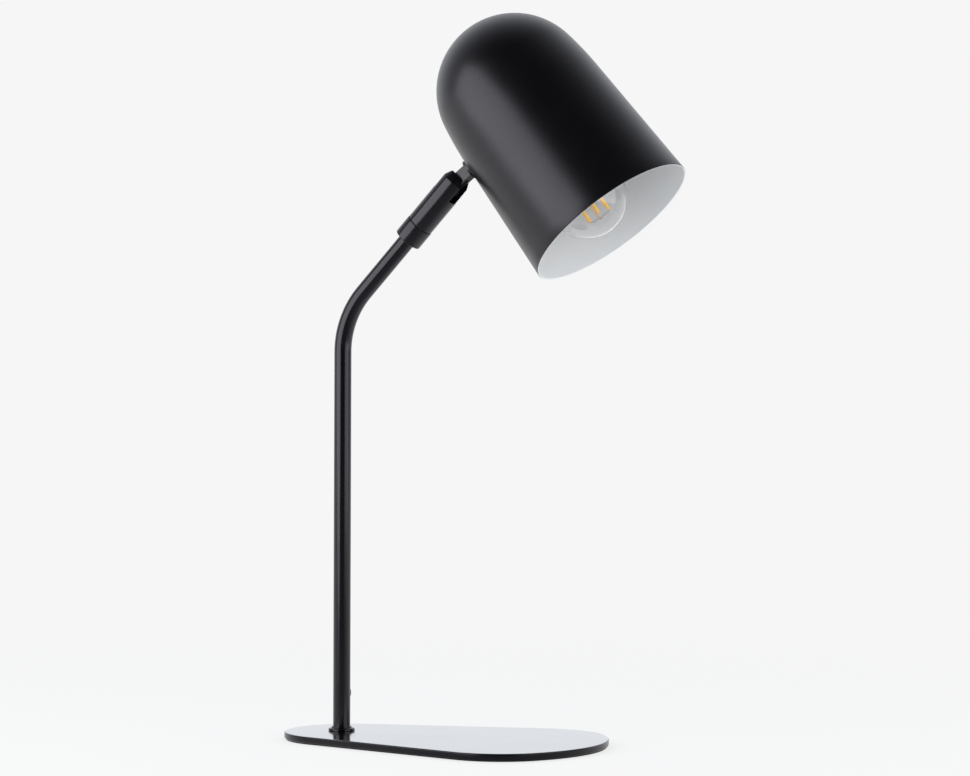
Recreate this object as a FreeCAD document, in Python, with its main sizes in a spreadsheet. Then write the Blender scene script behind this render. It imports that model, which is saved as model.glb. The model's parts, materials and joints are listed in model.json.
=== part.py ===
# Desk lamp with a bullet shade on a swivelling and tilting knuckle, a bent stem and a flat
# pear-shaped foot plate. Millimetres, +Z up. The origin is the point on the table straight below
# the stem; +X runs along the plate to its wide end, under the shade.

import FreeCAD, Part
import Sketcher

import os

# Driving sizes. Lengths are in millimetres and turns in degrees. A name that ends in share is
# a share of another size.
SIZES = {
    # Clearances that every fit uses.
    "fit_gap": 0.1,
    "run_gap": 0.2,
    "turn_gap": 0.06,
    "press_gap": 0.02,
    "overrun": 5.0,
    # Foot plate: a round toe under the stem and a wide, rounded far end.
    "toe_centre": 9.0,
    "toe_radius": 51.1,
    "wide_centre": 146.1,
    "wide_half": 84.7,
    "far_length": 63.9,
    "wide_corner_share": 0.83,
    "plate_thickness": 5.0,
    "plate_chamfer": 0.5,
    "pad_thickness": 0.8,
    "pad_inset": 1.5,
    # Joint of stem and plate.
    "foot_screw_radius": 3.0,
    "foot_screw_head_radius": 6.0,
    "foot_screw_head_height": 3.2,
    "foot_screw_grip": 12.0,
    "plug_height": 18.0,
    "flange_radius": 10.0,
    "flange_thickness": 2.2,
    "bead_width": 0.9,
    "bead_height": 1.2,
    "dowel_radius": 1.0,
    "dowel_in_plate": 3.0,
    "dowel_in_flange": 1.5,
    # Stem: a bent tube.
    "stem_radius": 6.5,
    "stem_wall": 1.5,
    "stem_rise": 292.3,
    "bend_radius": 65.2,
    "bend_turn": 43.3,
    # Lead inlet in the far side of the stem.
    "inlet_height": 34.0,
    "inlet_bore_radius": 2.8,
    "inlet_neck_radius": 3.7,
    "inlet_lip_radius": 5.0,
    "inlet_inner_lip_radius": 4.4,
    "inlet_lip_thickness": 1.0,
    # Collar on the end of the stem, and the spigot on which the knuckle swivels.
    "collar_start": 53.6,
    "collar_length": 14.8,
    "collar_radius": 10.75,
    "collar_chamfer": 0.6,
    "seam_chamfer": 0.3,
    "socket_depth": 10.0,
    "set_screw_radius": 2.0,
    "set_screw_sink": 0.5,
    "seam_washer_thickness": 0.5,
    "seam_washer_inset": 0.6,
    "spigot_radius": 6.8,
    "spigot_height": 16.5,
    "spigot_stud_radius": 5.0,
    "spigot_bore_radius": 3.25,
    "groove_rise": 7.5,
    "groove_height": 4.4,
    "groove_depth": 1.8,
    "stop_radius": 0.8,
    "guide_screw_radius": 1.5,
    # Knuckle: a turned body with a slot across its end.
    "knuckle_radius": 10.45,
    "knuckle_length": 48.8,
    "knuckle_bore_extra": 0.8,
    "cheek_taper_height": 6.4,
    "cheek_taper": 2.35,
    "lead_bore_radius": 3.5,
    "slot_width": 12.0,
    "slot_depth": 19.3,
    "pivot_setback": 12.8,
    "pivot_radius": 2.0,
    "pivot_sink": 0.5,
    "pivot_bite": 3.0,
    "tilt_washer_radius": 5.5,
    "tilt_washer_thickness": 0.35,
    # Tongue: an eye in the slot, a neck, a flange and a hollow stud.
    "eye_radius": 6.0,
    "eye_thickness": 11.0,
    "neck_height": 9.0,
    "neck_length": 21.0,
    "tongue_flange_radius": 8.5,
    "tongue_flange_thickness": 2.0,
    "saddle_radius": 9.0,
    "saddle_thickness": 1.0,
    "stud_radius": 5.0,
    "stud_past_nut": 1.2,
    "stud_bore_radius": 2.4,
    "lead_width": 4.4,
    "lead_depth": 2.2,
    "lead_notch_start": 7.0,
    "lead_notch_end": 15.0,
    # Shade: a flared skirt, two easing arcs and a round crown.
    "head_droop": 38.31,
    "rim_radius": 65.4,
    "flare_share": 0.05,
    "skirt_height": 103.6,
    "flank_radius": 271.3,
    "flank_turn": 9.43,
    "shoulder_radius": 60.7,
    "shoulder_turn": 18.0,
    "shade_wall": 1.2,
    "stud_station": 103.0,
    # Strap that carries the lamp holder, with its fasteners.
    "strap_width": 16.0,
    "strap_thickness": 2.0,
    "strap_inner_bend": 1.5,
    "strap_pad_half": 9.0,
    "strap_knee": 45.0,
    "strap_tail": 10.0,
    "star_washer_radius": 7.8,
    "star_washer_thickness": 1.0,
    "nut_half_width": 7.0,
    "nut_thickness": 4.0,
    "nipple_radius": 5.0,
    "nipple_bore_radius": 3.7,
    "nipple_past_nut": 2.0,
    # Lamp holder for a 27 mm screw cap, its axis a little nearer to the knuckle than the shade's.
    "holder_offset": 4.3,
    "holder_length": 56.5,
    "holder_radius": 20.5,
    "holder_mouth_radius": 19.0,
    "holder_wall": 2.6,
    "holder_lip": 2.5,
    "holder_cap_height": 22.0,
    "holder_cap_shoulder": 7.0,
    "holder_top_radius": 11.0,
    "shell_wall": 0.5,
    "core_thickness": 5.0,
    "terminal_radius": 2.0,
    "terminal_height": 3.5,
    "terminal_spacing": 9.0,
    # Filament bulb with a 60 mm globe.
    "bulb_tip_proud": 3.0,
    "bulb_radius": 30.0,
    "glass_wall": 0.9,
    "globe_turn": 38.0,
    "glass_neck_radius": 12.6,
    "glass_neck_height": 70.0,
    "glass_height": 80.0,
    "cap_radius": 13.1,
    "cap_overlap": 2.5,
    "cap_height": 22.0,
    "cap_wall": 0.3,
    "cap_shoulder_radius": 9.5,
    "insulator_height": 3.0,
    "contact_radius": 4.6,
    "contact_height": 1.6,
    "mount_radius": 4.2,
    "mount_top_radius": 2.2,
    "mount_height": 26.0,
    "mount_rod_radius": 1.3,
    "mount_rod_past": 1.5,
    "wire_width": 0.7,
    "wire_hub_wall": 0.6,
    "filament_radius": 0.9,
    "filament_length": 34.0,
    "filament_circle": 8.0,
}

# Sizes worked out from the driving ones, as formulas of the same sheet.
WORKED_OUT = {
    # Foot plate outline: a toe arc, two straight flanks, two corner arcs and a far arc.
    "corner_radius": "far_length * wide_corner_share",
    "corner_offset": "wide_half - corner_radius",
    "corner_slack": "far_length - corner_radius",
    "far_back": "(corner_offset ^ 2 - corner_slack ^ 2) / (2 * corner_slack)",
    "far_radius": "far_length + far_back",
    "far_centre": "wide_centre - far_back",
    "flank_span": "sqrt((wide_centre - toe_centre) ^ 2 + corner_offset ^ 2)",
    "flank_normal": "atan2(corner_offset; wide_centre - toe_centre)"
                    " + acos((toe_radius - corner_radius) / flank_span)",
    "far_swing": "atan2(corner_offset; far_back)",
    "toe_tangent_x": "toe_centre + toe_radius * cos(flank_normal)",
    "toe_tangent_y": "toe_radius * sin(flank_normal)",
    "corner_tangent_x": "wide_centre + corner_radius * cos(flank_normal)",
    "corner_tangent_y": "corner_offset + corner_radius * sin(flank_normal)",
    "far_tangent_x": "far_centre + far_radius * cos(far_swing)",
    "far_tangent_y": "far_radius * sin(far_swing)",
    # The same outline drawn in by the pad's inset.
    "pad_toe_radius": "toe_radius - pad_inset",
    "pad_corner_radius": "corner_radius - pad_inset",
    "pad_far_radius": "far_radius - pad_inset",
    "pad_toe_x": "toe_centre + pad_toe_radius * cos(flank_normal)",
    "pad_toe_y": "pad_toe_radius * sin(flank_normal)",
    "pad_corner_x": "wide_centre + pad_corner_radius * cos(flank_normal)",
    "pad_corner_y": "corner_offset + pad_corner_radius * sin(flank_normal)",
    "pad_far_x": "far_centre + pad_far_radius * cos(far_swing)",
    "pad_far_y": "pad_far_radius * sin(far_swing)",
    # Joint of stem and plate.
    "plate_top": "pad_thickness + plate_thickness",
    "head_sink_top": "pad_thickness + foot_screw_head_height",
    "foot_screw_tip": "plate_top + foot_screw_grip",
    "foot_hole_radius": "foot_screw_radius + fit_gap",
    "foot_sink_radius": "foot_screw_head_radius + fit_gap",
    "stem_bore_radius": "stem_radius - stem_wall",
    "plug_radius": "stem_bore_radius - press_gap",
    "plug_top": "plate_top + plug_height",
    "flange_bore_radius": "stem_radius + press_gap",
    "flange_top": "plate_top + flange_thickness",
    "flange_edge": "flange_thickness / 3",
    "bead_radius": "stem_radius + bead_width",
    "bead_top": "flange_top + bead_height",
    "dowel_station": "(stem_radius + flange_radius) / 2",
    "dowel_bottom": "plate_top - dowel_in_plate",
    "dowel_top": "plate_top + dowel_in_flange",
    "dowel_hole_radius": "dowel_radius + press_gap",
    # Stem and inlet.
    "bend_end_x": "bend_radius * (1 - cos(bend_turn))",
    "bend_end_z": "stem_rise + bend_radius * sin(bend_turn)",
    "arm_end": "collar_start + socket_depth",
    "inlet_hole_radius": "inlet_neck_radius + fit_gap",
    "outer_lip_radius": "stem_radius + inlet_lip_thickness",
    "inner_lip_radius": "stem_bore_radius - inlet_lip_thickness",
    "stem_outer_fit": "stem_radius + press_gap",
    "stem_inner_fit": "stem_bore_radius - press_gap",
    # Collar, spigot and seam.
    "socket_radius": "stem_radius + fit_gap",
    "collar_top": "collar_start + collar_length",
    "collar_stud_hole": "spigot_stud_radius + press_gap",
    "set_screw_station": "collar_start + socket_depth / 2",
    "set_screw_hole": "set_screw_radius + press_gap",
    "set_screw_end": "collar_radius - set_screw_sink",
    "spigot_top": "collar_top + spigot_height",
    "groove_low": "collar_top + groove_rise",
    "groove_high": "groove_low + groove_height",
    "groove_middle": "groove_low + groove_height / 2",
    "groove_radius": "spigot_radius - groove_depth",
    "stop_hole": "stop_radius + press_gap",
    "stop_inner": "(spigot_bore_radius + groove_radius) / 2",
    "stop_outer": "spigot_radius - press_gap",
    "seam_washer_inner": "spigot_radius + fit_gap",
    "seam_washer_outer": "knuckle_radius - seam_washer_inset",
    "seam_washer_top": "collar_top + seam_washer_thickness",
    # Knuckle.
    "knuckle_start": "seam_washer_top + fit_gap",
    "knuckle_end": "knuckle_start + knuckle_length",
    "knuckle_bore_radius": "spigot_radius + turn_gap",
    "knuckle_bore_top": "spigot_top + knuckle_bore_extra",
    "slot_bottom": "knuckle_end - slot_depth",
    "pivot_height": "knuckle_end - pivot_setback",
    "guide_screw_hole": "guide_screw_radius + press_gap",
    "guide_screw_tip": "groove_radius + run_gap",
    "guide_screw_end": "knuckle_radius - set_screw_sink",
    "pivot_hole": "pivot_radius + press_gap",
    "pivot_run": "pivot_radius + turn_gap",
    "pivot_end": "knuckle_radius - pivot_sink",
    "slot_half": "slot_width / 2",
    "pivot_hole_end": "slot_half + pivot_bite",
    "pivot_blind_end": "pivot_hole_end - fit_gap",
    "slot_span": "(knuckle_radius + overrun) * 2",
    "slot_over": "knuckle_end + overrun",
    "slot_side": "knuckle_radius + overrun",
    # Tongue, with heights from the pivot towards the shade.
    "neck_half": "neck_height / 2",
    "tongue_face": "neck_length + tongue_flange_thickness",
    "wall_reach": "tongue_face + saddle_thickness",
    "saddle_blank": "saddle_thickness * 3",
    "saddle_hole": "stud_radius + fit_gap",
    "eye_groove_radius": "eye_radius - lead_depth",
    "eye_clear": "eye_radius + overrun",
    "eye_bore_start": "lead_notch_start + stud_bore_radius",
    # Shade: centres, ends and radii of its arcs, in radius and height from the rim.
    "flare_turn": "atan(flare_share)",
    "skirt_radius": "rim_radius - flare_share * skirt_height",
    "flank_centre_x": "skirt_radius - flank_radius * cos(flare_turn)",
    "flank_centre_z": "skirt_height - flank_radius * sin(flare_turn)",
    "flank_x": "flank_centre_x + flank_radius * cos(flank_turn)",
    "flank_z": "flank_centre_z + flank_radius * sin(flank_turn)",
    "shoulder_centre_x": "flank_x - shoulder_radius * cos(flank_turn)",
    "shoulder_centre_z": "flank_z - shoulder_radius * sin(flank_turn)",
    "shoulder_x": "shoulder_centre_x + shoulder_radius * cos(shoulder_turn)",
    "shoulder_z": "shoulder_centre_z + shoulder_radius * sin(shoulder_turn)",
    "crown_radius": "shoulder_x / cos(shoulder_turn)",
    "crown_centre_z": "shoulder_z - crown_radius * sin(shoulder_turn)",
    "crown_top": "crown_centre_z + crown_radius",
    "rim_inner": "rim_radius - shade_wall",
    "flank_inner_radius": "flank_radius - shade_wall",
    "shoulder_inner_radius": "shoulder_radius - shade_wall",
    "crown_inner_radius": "crown_radius - shade_wall",
    "crown_inner_top": "crown_top - shade_wall",
    "skirt_inner_x": "flank_centre_x + flank_inner_radius * cos(flare_turn)",
    "skirt_inner_z": "flank_centre_z + flank_inner_radius * sin(flare_turn)",
    "flank_inner_x": "flank_centre_x + flank_inner_radius * cos(flank_turn)",
    "flank_inner_z": "flank_centre_z + flank_inner_radius * sin(flank_turn)",
    "shoulder_inner_x": "shoulder_centre_x + shoulder_inner_radius * cos(shoulder_turn)",
    "shoulder_inner_z": "shoulder_centre_z + shoulder_inner_radius * sin(shoulder_turn)",
    "station_radius": "rim_radius - flare_share * stud_station",
    "axis_reach": "wall_reach + station_radius",
    "stud_hole": "stud_radius + fit_gap",
    "saddle_side": "saddle_radius + overrun",
    "saddle_wall_near": "wall_reach - flare_share * saddle_side",
    "saddle_wall_far": "wall_reach + flare_share * saddle_side",
    # Bulb, with heights from the rim into the shade.
    "bulb_tip": "0 - bulb_tip_proud",
    "globe_middle": "bulb_tip + bulb_radius",
    "globe_join_x": "bulb_radius * cos(globe_turn)",
    "globe_join_z": "globe_middle + bulb_radius * sin(globe_turn)",
    "globe_inner_radius": "bulb_radius - glass_wall",
    "globe_inner_tip": "bulb_tip + glass_wall",
    "globe_inner_x": "globe_inner_radius * cos(globe_turn)",
    "globe_inner_z": "globe_middle + globe_inner_radius * sin(globe_turn)",
    "neck_z": "bulb_tip + glass_neck_height",
    "neck_inner": "glass_neck_radius - glass_wall",
    "glass_end": "bulb_tip + glass_height",
    "cap_start": "glass_end - cap_overlap",
    "cap_end": "cap_start + cap_height",
    "cap_inner": "glass_neck_radius + fit_gap",
    "cap_throat": "cap_shoulder_radius - cap_wall",
    "cap_turn_z": "cap_end - cap_radius + cap_shoulder_radius",
    "insulator_end": "cap_end + insulator_height",
    "contact_end": "insulator_end + contact_height",
    "mount_start": "glass_end - mount_height",
    "mount_foot_radius": "neck_inner - fit_gap",
    "mount_foot": "glass_end - glass_wall",
    "filament_low": "globe_middle - filament_length / 2",
    "filament_high": "filament_low + filament_length",
    "low_wire": "filament_low - wire_width",
    "rod_tip": "low_wire - mount_rod_past",
    "wire_hub_radius": "mount_rod_radius + wire_hub_wall",
    "wire_reach": "filament_circle + filament_radius",
    "wire_half": "wire_width / 2",
    # Lamp holder.
    "holder_mouth": "cap_start - holder_lip / 2",
    "holder_top": "holder_mouth + holder_length",
    "holder_split": "holder_top - holder_cap_height",
    "holder_cap_knee": "holder_split + holder_cap_shoulder",
    "holder_inner": "holder_radius - holder_wall",
    "holder_mouth_inner": "holder_mouth_radius - holder_wall",
    "holder_lip_top": "holder_mouth + holder_lip",
    "cap_inner_knee": "holder_cap_knee - holder_wall / 2",
    "cap_inner_top": "holder_top - holder_wall",
    "holder_top_inner": "holder_top_radius - holder_wall / 2",
    "shell_inner": "cap_radius + run_gap",
    "shell_outer": "shell_inner + shell_wall",
    "holder_throat": "shell_outer + fit_gap",
    "shell_start": "holder_lip_top",
    "shell_end": "insulator_end",
    "leaf_base": "contact_end",
    "core_start": "contact_end + shell_wall",
    "core_end": "core_start + core_thickness",
    "core_radius": "holder_mouth_inner - fit_gap + (holder_inner - holder_mouth_inner)"
                   " * (core_start - holder_lip_top) / (holder_split - holder_lip_top)",
    "core_rim_radius": "shell_outer + fit_gap",
    "core_skirt_start": "shell_end - insulator_height",
    "nipple_hole": "nipple_radius + fit_gap",
    "nipple_start": "holder_top - holder_cap_height / 3",
    # Strap and the fasteners on the stud and the nipple.
    "pad_low": "stud_station - strap_pad_half",
    "pad_high": "stud_station + strap_pad_half",
    "pad_corner_bore": "station_radius - shade_wall - flare_share * strap_pad_half",
    "strap_half": "strap_width / 2",
    "strap_outer_bend": "strap_inner_bend + strap_thickness",
    "strap_face": "sqrt(pad_corner_bore ^ 2 - strap_half ^ 2) - run_gap",
    "strap_back": "strap_face - strap_thickness",
    "strap_top": "holder_top + strap_thickness",
    "strap_lean": "atan((strap_face - strap_knee) / (strap_top - pad_high))",
    "strap_low_step": "strap_thickness * tan(strap_lean / 2)",
    "strap_high_step": "strap_thickness * (1 - sin(strap_lean)) / cos(strap_lean)",
    "strap_inner_knee": "strap_knee - strap_high_step",
    "strap_end": "strap_tail - holder_offset",
    "pad_high_inner": "pad_high - strap_low_step",
    "star_washer_start": "axis_reach - strap_back",
    "nut_start": "star_washer_start + star_washer_thickness",
    "nut_end": "nut_start + nut_thickness",
    "stud_end": "nut_end + stud_past_nut",
    "nut_point": "nut_half_width / cos(30)",
    "nut_flat_x": "nut_half_width * tan(30)",
    "lock_nut_end": "strap_top + nut_thickness",
    "nipple_end": "lock_nut_end + nipple_past_nut",
}

FULL_TURN = 360
FILAMENTS = 4
STRAIGHT_DOWN = 90
ACROSS = FreeCAD.Vector(0, 1, 0)

doc = FreeCAD.newDocument("DeskLamp")
sheet = doc.addObject("Spreadsheet::Sheet", "Sizes")
pieces = []


def fill_sheet():
    """Writes every size into the sheet, driving sizes as plain numbers and the rest as formulas."""
    row = 0
    for name, size in SIZES.items():
        row += 1
        sheet.set(f"A{row}", name)
        sheet.set(f"B{row}", str(size))
        sheet.setAlias(f"B{row}", name)
    for name, formula in WORKED_OUT.items():
        row += 1
        sheet.set(f"A{row}", name)
        sheet.set(f"B{row}", "=" + formula)
        sheet.setAlias(f"B{row}", name)
    doc.recompute()


def read(name):
    """Gives the number in one named cell."""
    held = sheet.get(name)
    return float(getattr(held, "Value", held))


def total(names):
    """Adds up named cells, written as words such as 'knuckle_end - slot_depth'."""
    sign = 1
    result = 0.0
    for word in names.split():
        if word in ("+", "-"):
            sign = 1 if word == "+" else -1
        elif word != "0":
            result += sign * read(word)
            sign = 1
    return result


def bound(names):
    """The same words as a formula that reads the sheet."""
    words = (word if word in ("+", "-", "0") else "Sizes." + word for word in names.split())
    return " ".join(words)


def new_body(label, place):
    """Starts one piece in its own frame and lists it for export."""
    body = doc.addObject("PartDesign::Body", "Body")
    body.Label = label
    body.Placement = place
    pieces.append(body)
    return body


def new_sketch(body, plane):
    """Starts a sketch on one of the piece's own three planes."""
    sketch = body.newObject("Sketcher::SketchObject", "Sketch")
    support = [item for item in body.Origin.OriginFeatures if item.Role == plane][0]
    sketch.AttachmentSupport = (support, [""])
    sketch.MapMode = "FlatFace"
    return sketch


def hold(sketch, kind, item, end, names):
    """Holds one coordinate of a point at a total of cells."""
    place = sketch.addConstraint(Sketcher.Constraint(kind, item, end, total(names)))
    if names != "0":
        sketch.setExpression(f"Constraints[{place}]", bound(names))


def hold_radius(sketch, item, names):
    """Holds an arc's or circle's radius at a total of cells."""
    place = sketch.addConstraint(Sketcher.Constraint("Radius", item, total(names)))
    sketch.setExpression(f"Constraints[{place}]", bound(names))


def draw_outline(sketch, corners):
    """Draws a closed outline.

    Each corner is a pair of totals. A corner with a third item starts an arc of under half
    a turn, and that item gives the arc's centre and radius.
    """
    start_ends = []
    points = [FreeCAD.Vector(total(corner[0]), total(corner[1]), 0) for corner in corners]
    for number, corner in enumerate(corners):
        here = points[number]
        there = points[(number + 1) % len(points)]
        if len(corner) == 2:
            item = sketch.addGeometry(Part.LineSegment(here, there), False)
            start_ends.append((item, 1, 2))
            continue
        centre_x, centre_y, radius = corner[2]
        centre = FreeCAD.Vector(total(centre_x), total(centre_y), 0)
        swing = (here - centre).cross(there - centre).z
        first, last = (here, there) if swing > 0 else (there, here)
        east = FreeCAD.Vector(1, 0, 0)
        turns = []
        for point in (first, last):
            arm = point - centre
            turn = arm.getAngle(east)
            turns.append(turn if arm.y >= 0 else -turn)
        up = FreeCAD.Vector(0, 0, 1)
        arc = Part.ArcOfCircle(Part.Circle(centre, up, total(radius)), turns[0], turns[1])
        item = sketch.addGeometry(arc, False)
        hold_radius(sketch, item, radius)
        start_ends.append((item, 1, 2) if swing > 0 else (item, 2, 1))
    for number, corner in enumerate(corners):
        item, start, end = start_ends[number]
        follower, follower_start, _ = start_ends[(number + 1) % len(corners)]
        sketch.addConstraint(
            Sketcher.Constraint("Coincident", item, end, follower, follower_start)
        )
        hold(sketch, "DistanceX", item, start, corner[0])
        hold(sketch, "DistanceY", item, start, corner[1])


def draw_circle(sketch, x, y, radius):
    """Draws one circle about a point given by two totals."""
    centre = FreeCAD.Vector(total(x), total(y), 0)
    up = FreeCAD.Vector(0, 0, 1)
    item = sketch.addGeometry(Part.Circle(centre, up, total(radius)), False)
    hold(sketch, "DistanceX", item, 3, x)
    hold(sketch, "DistanceY", item, 3, y)
    hold_radius(sketch, item, radius)


def lift(sketch, rise):
    """Raises a sketch along its own normal by a total of cells."""
    sketch.setExpression("AttachmentOffset.Base.z", bound(rise))


def spin(body, sketch, kind="PartDesign::Revolution", axis="V_Axis"):
    """Turns a half section about its upright axis, or cuts with it."""
    feature = body.newObject(kind, "Turning")
    feature.Profile = sketch
    feature.ReferenceAxis = (sketch, [axis])
    feature.Angle = FULL_TURN
    body.Tip = feature
    return feature


def turned(label, corners, place=FreeCAD.Placement()):
    """Makes a turned piece from its half section in radius and height."""
    body = new_body(label, place)
    sketch = new_sketch(body, "XZ_Plane")
    draw_outline(sketch, corners)
    spin(body, sketch)
    return body


def push(body, sketch, length, kind="PartDesign::Pad", side="One side", reverse=False):
    """Pads or pockets a sketch by a total of cells."""
    feature = body.newObject(kind, "Push")
    feature.Profile = sketch
    feature.SideType = side
    feature.Reversed = reverse
    feature.setExpression("Length", bound(length))
    body.Tip = feature
    return feature


def drill(body, plane, x, y, radius, depth, side="One side", reverse=False):
    """Drills a round hole from one of the piece's own planes."""
    sketch = new_sketch(body, plane)
    draw_circle(sketch, x, y, radius)
    return push(body, sketch, depth, "PartDesign::Pocket", side, reverse)


def ring(radius_in, radius_out, low, high):
    """The half section of a plain ring."""
    return [(radius_in, low), (radius_out, low), (radius_out, high), (radius_in, high)]


def edges_at_height(feature, names):
    """Names the feature's edges that lie level at one height."""
    height = total(names)
    close = read("press_gap")
    found = []
    for number, edge in enumerate(feature.Shape.Edges, 1):
        box = edge.BoundBox
        if abs(box.ZMin - height) < close and abs(box.ZMax - height) < close:
            found.append(f"Edge{number}")
    return found


def edge_across(feature, x, z):
    """Names the feature's edge that runs straight across its side view at one place."""
    close = read("press_gap")
    for number, edge in enumerate(feature.Shape.Edges, 1):
        box = edge.BoundBox
        if box.YLength > close and box.XLength < close and box.ZLength < close:
            if abs(box.XMin - total(x)) < close and abs(box.ZMin - total(z)) < close:
                return f"Edge{number}"
    raise RuntimeError(f"no edge across at {x}, {z}")


def dress(body, feature, kind, edges, size):
    """Rounds or chamfers named edges of a feature."""
    work = body.newObject(kind, "Edges")
    work.Base = (feature, edges)
    work.setExpression("Radius" if kind.endswith("Fillet") else "Size", bound(size))
    body.Tip = work
    return work


fill_sheet()

# Frames. The arm frame stands at the end of the bend and points along the straight end of the
# stem. The tongue frame stands at the tilt pivot and points at the shade. The head frame stands
# at the middle of the shade's rim and points at its crown. The holder frame lies beside it, on the
# axis of the lamp holder and bulb.
arm_turn = FreeCAD.Rotation(ACROSS, read("bend_turn"))
arm_foot = FreeCAD.Vector(read("bend_end_x"), 0, read("bend_end_z"))
arm_frame = FreeCAD.Placement(arm_foot, arm_turn)
pivot = arm_frame.multVec(FreeCAD.Vector(0, 0, read("pivot_height")))
tongue_turn = FreeCAD.Rotation(ACROSS, STRAIGHT_DOWN - read("head_droop"))
tongue_frame = FreeCAD.Placement(pivot, tongue_turn)
head_turn = FreeCAD.Rotation(ACROSS, -read("head_droop"))
rim_middle = tongue_frame.multVec(FreeCAD.Vector(read("stud_station"), 0, read("axis_reach")))
head_frame = FreeCAD.Placement(rim_middle, head_turn)
holder_foot = head_frame.multVec(FreeCAD.Vector(-read("holder_offset"), 0, 0))
holder_frame = FreeCAD.Placement(holder_foot, head_turn)
table = FreeCAD.Placement()


# Foot plate and its pad

def pear_outline(toe, corner, far, toe_radius, corner_radius, far_radius):
    """The plate's outline: toe, flank, corner, far arc and back, from its tangent points."""
    toe_x, toe_y = toe
    corner_x, corner_y = corner
    far_x, far_y = far
    return [
        (toe_x, toe_y, ("toe_centre", "0", toe_radius)),
        ("toe_centre - " + toe_radius, "0", ("toe_centre", "0", toe_radius)),
        (toe_x, "- " + toe_y),
        (corner_x, "- " + corner_y, ("wide_centre", "- corner_offset", corner_radius)),
        (far_x, "- " + far_y, ("far_centre", "0", far_radius)),
        (far_x, far_y, ("wide_centre", "corner_offset", corner_radius)),
        (corner_x, corner_y),
    ]


def make_base_plate():
    """Steel plate with a sunk screw from below, a dowel hole and an eased top edge."""
    body = new_body("base_plate", table)
    sketch = new_sketch(body, "XY_Plane")
    lift(sketch, "pad_thickness")
    draw_outline(sketch, pear_outline(
        ("toe_tangent_x", "toe_tangent_y"),
        ("corner_tangent_x", "corner_tangent_y"),
        ("far_tangent_x", "far_tangent_y"),
        "toe_radius", "corner_radius", "far_radius"))
    slab = push(body, sketch, "plate_thickness")
    doc.recompute()
    top = edges_at_height(slab, "plate_top")
    dress(body, slab, "PartDesign::Chamfer", top, "plate_chamfer")
    sink = new_sketch(body, "XZ_Plane")
    draw_outline(sink, [
        ("0", "pad_thickness"),
        ("foot_sink_radius", "pad_thickness"),
        ("foot_hole_radius", "head_sink_top"),
        ("foot_hole_radius", "plate_top"),
        ("0", "plate_top"),
    ])
    spin(body, sink, "PartDesign::Groove")
    dowel = new_sketch(body, "XY_Plane")
    lift(dowel, "plate_top")
    draw_circle(dowel, "- dowel_station", "0", "dowel_hole_radius")
    push(body, dowel, "dowel_in_plate", "PartDesign::Pocket")
    return body


def make_base_pad():
    """Thin foam pad under the plate, drawn in from its edge."""
    body = new_body("base_pad", table)
    sketch = new_sketch(body, "XY_Plane")
    draw_outline(sketch, pear_outline(
        ("pad_toe_x", "pad_toe_y"),
        ("pad_corner_x", "pad_corner_y"),
        ("pad_far_x", "pad_far_y"),
        "pad_toe_radius", "pad_corner_radius", "pad_far_radius"))
    push(body, sketch, "pad_thickness")
    return body


make_base_plate()
make_base_pad()


# Joint of the stem and the plate

turned("base_screw", [
    ("0", "pad_thickness"),
    ("foot_screw_head_radius", "pad_thickness"),
    ("foot_screw_radius", "head_sink_top"),
    ("foot_screw_radius", "foot_screw_tip"),
    ("0", "foot_screw_tip"),
])
plug = turned("stem_plug", ring("foot_hole_radius", "plug_radius", "plate_top", "plug_top"))

flange = turned("foot_flange", [
    ("flange_bore_radius", "plate_top"),
    ("flange_radius", "plate_top"),
    ("flange_radius", "flange_top - flange_edge"),
    ("flange_radius - flange_edge", "flange_top"),
    ("bead_radius", "flange_top"),
    ("bead_radius", "bead_top"),
    ("flange_bore_radius", "bead_top"),
])
dowel_hole = new_sketch(flange, "XY_Plane")
lift(dowel_hole, "plate_top")
draw_circle(dowel_hole, "- dowel_station", "0", "dowel_hole_radius")
push(flange, dowel_hole, "dowel_in_flange", "PartDesign::Pocket", reverse=True)

dowel = new_body("locating_dowel", table)
dowel_end = new_sketch(dowel, "XY_Plane")
lift(dowel_end, "dowel_bottom")
draw_circle(dowel_end, "- dowel_station", "0", "dowel_radius")
push(dowel, dowel_end, "dowel_top - dowel_bottom")


# Stem and its inlet

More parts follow.
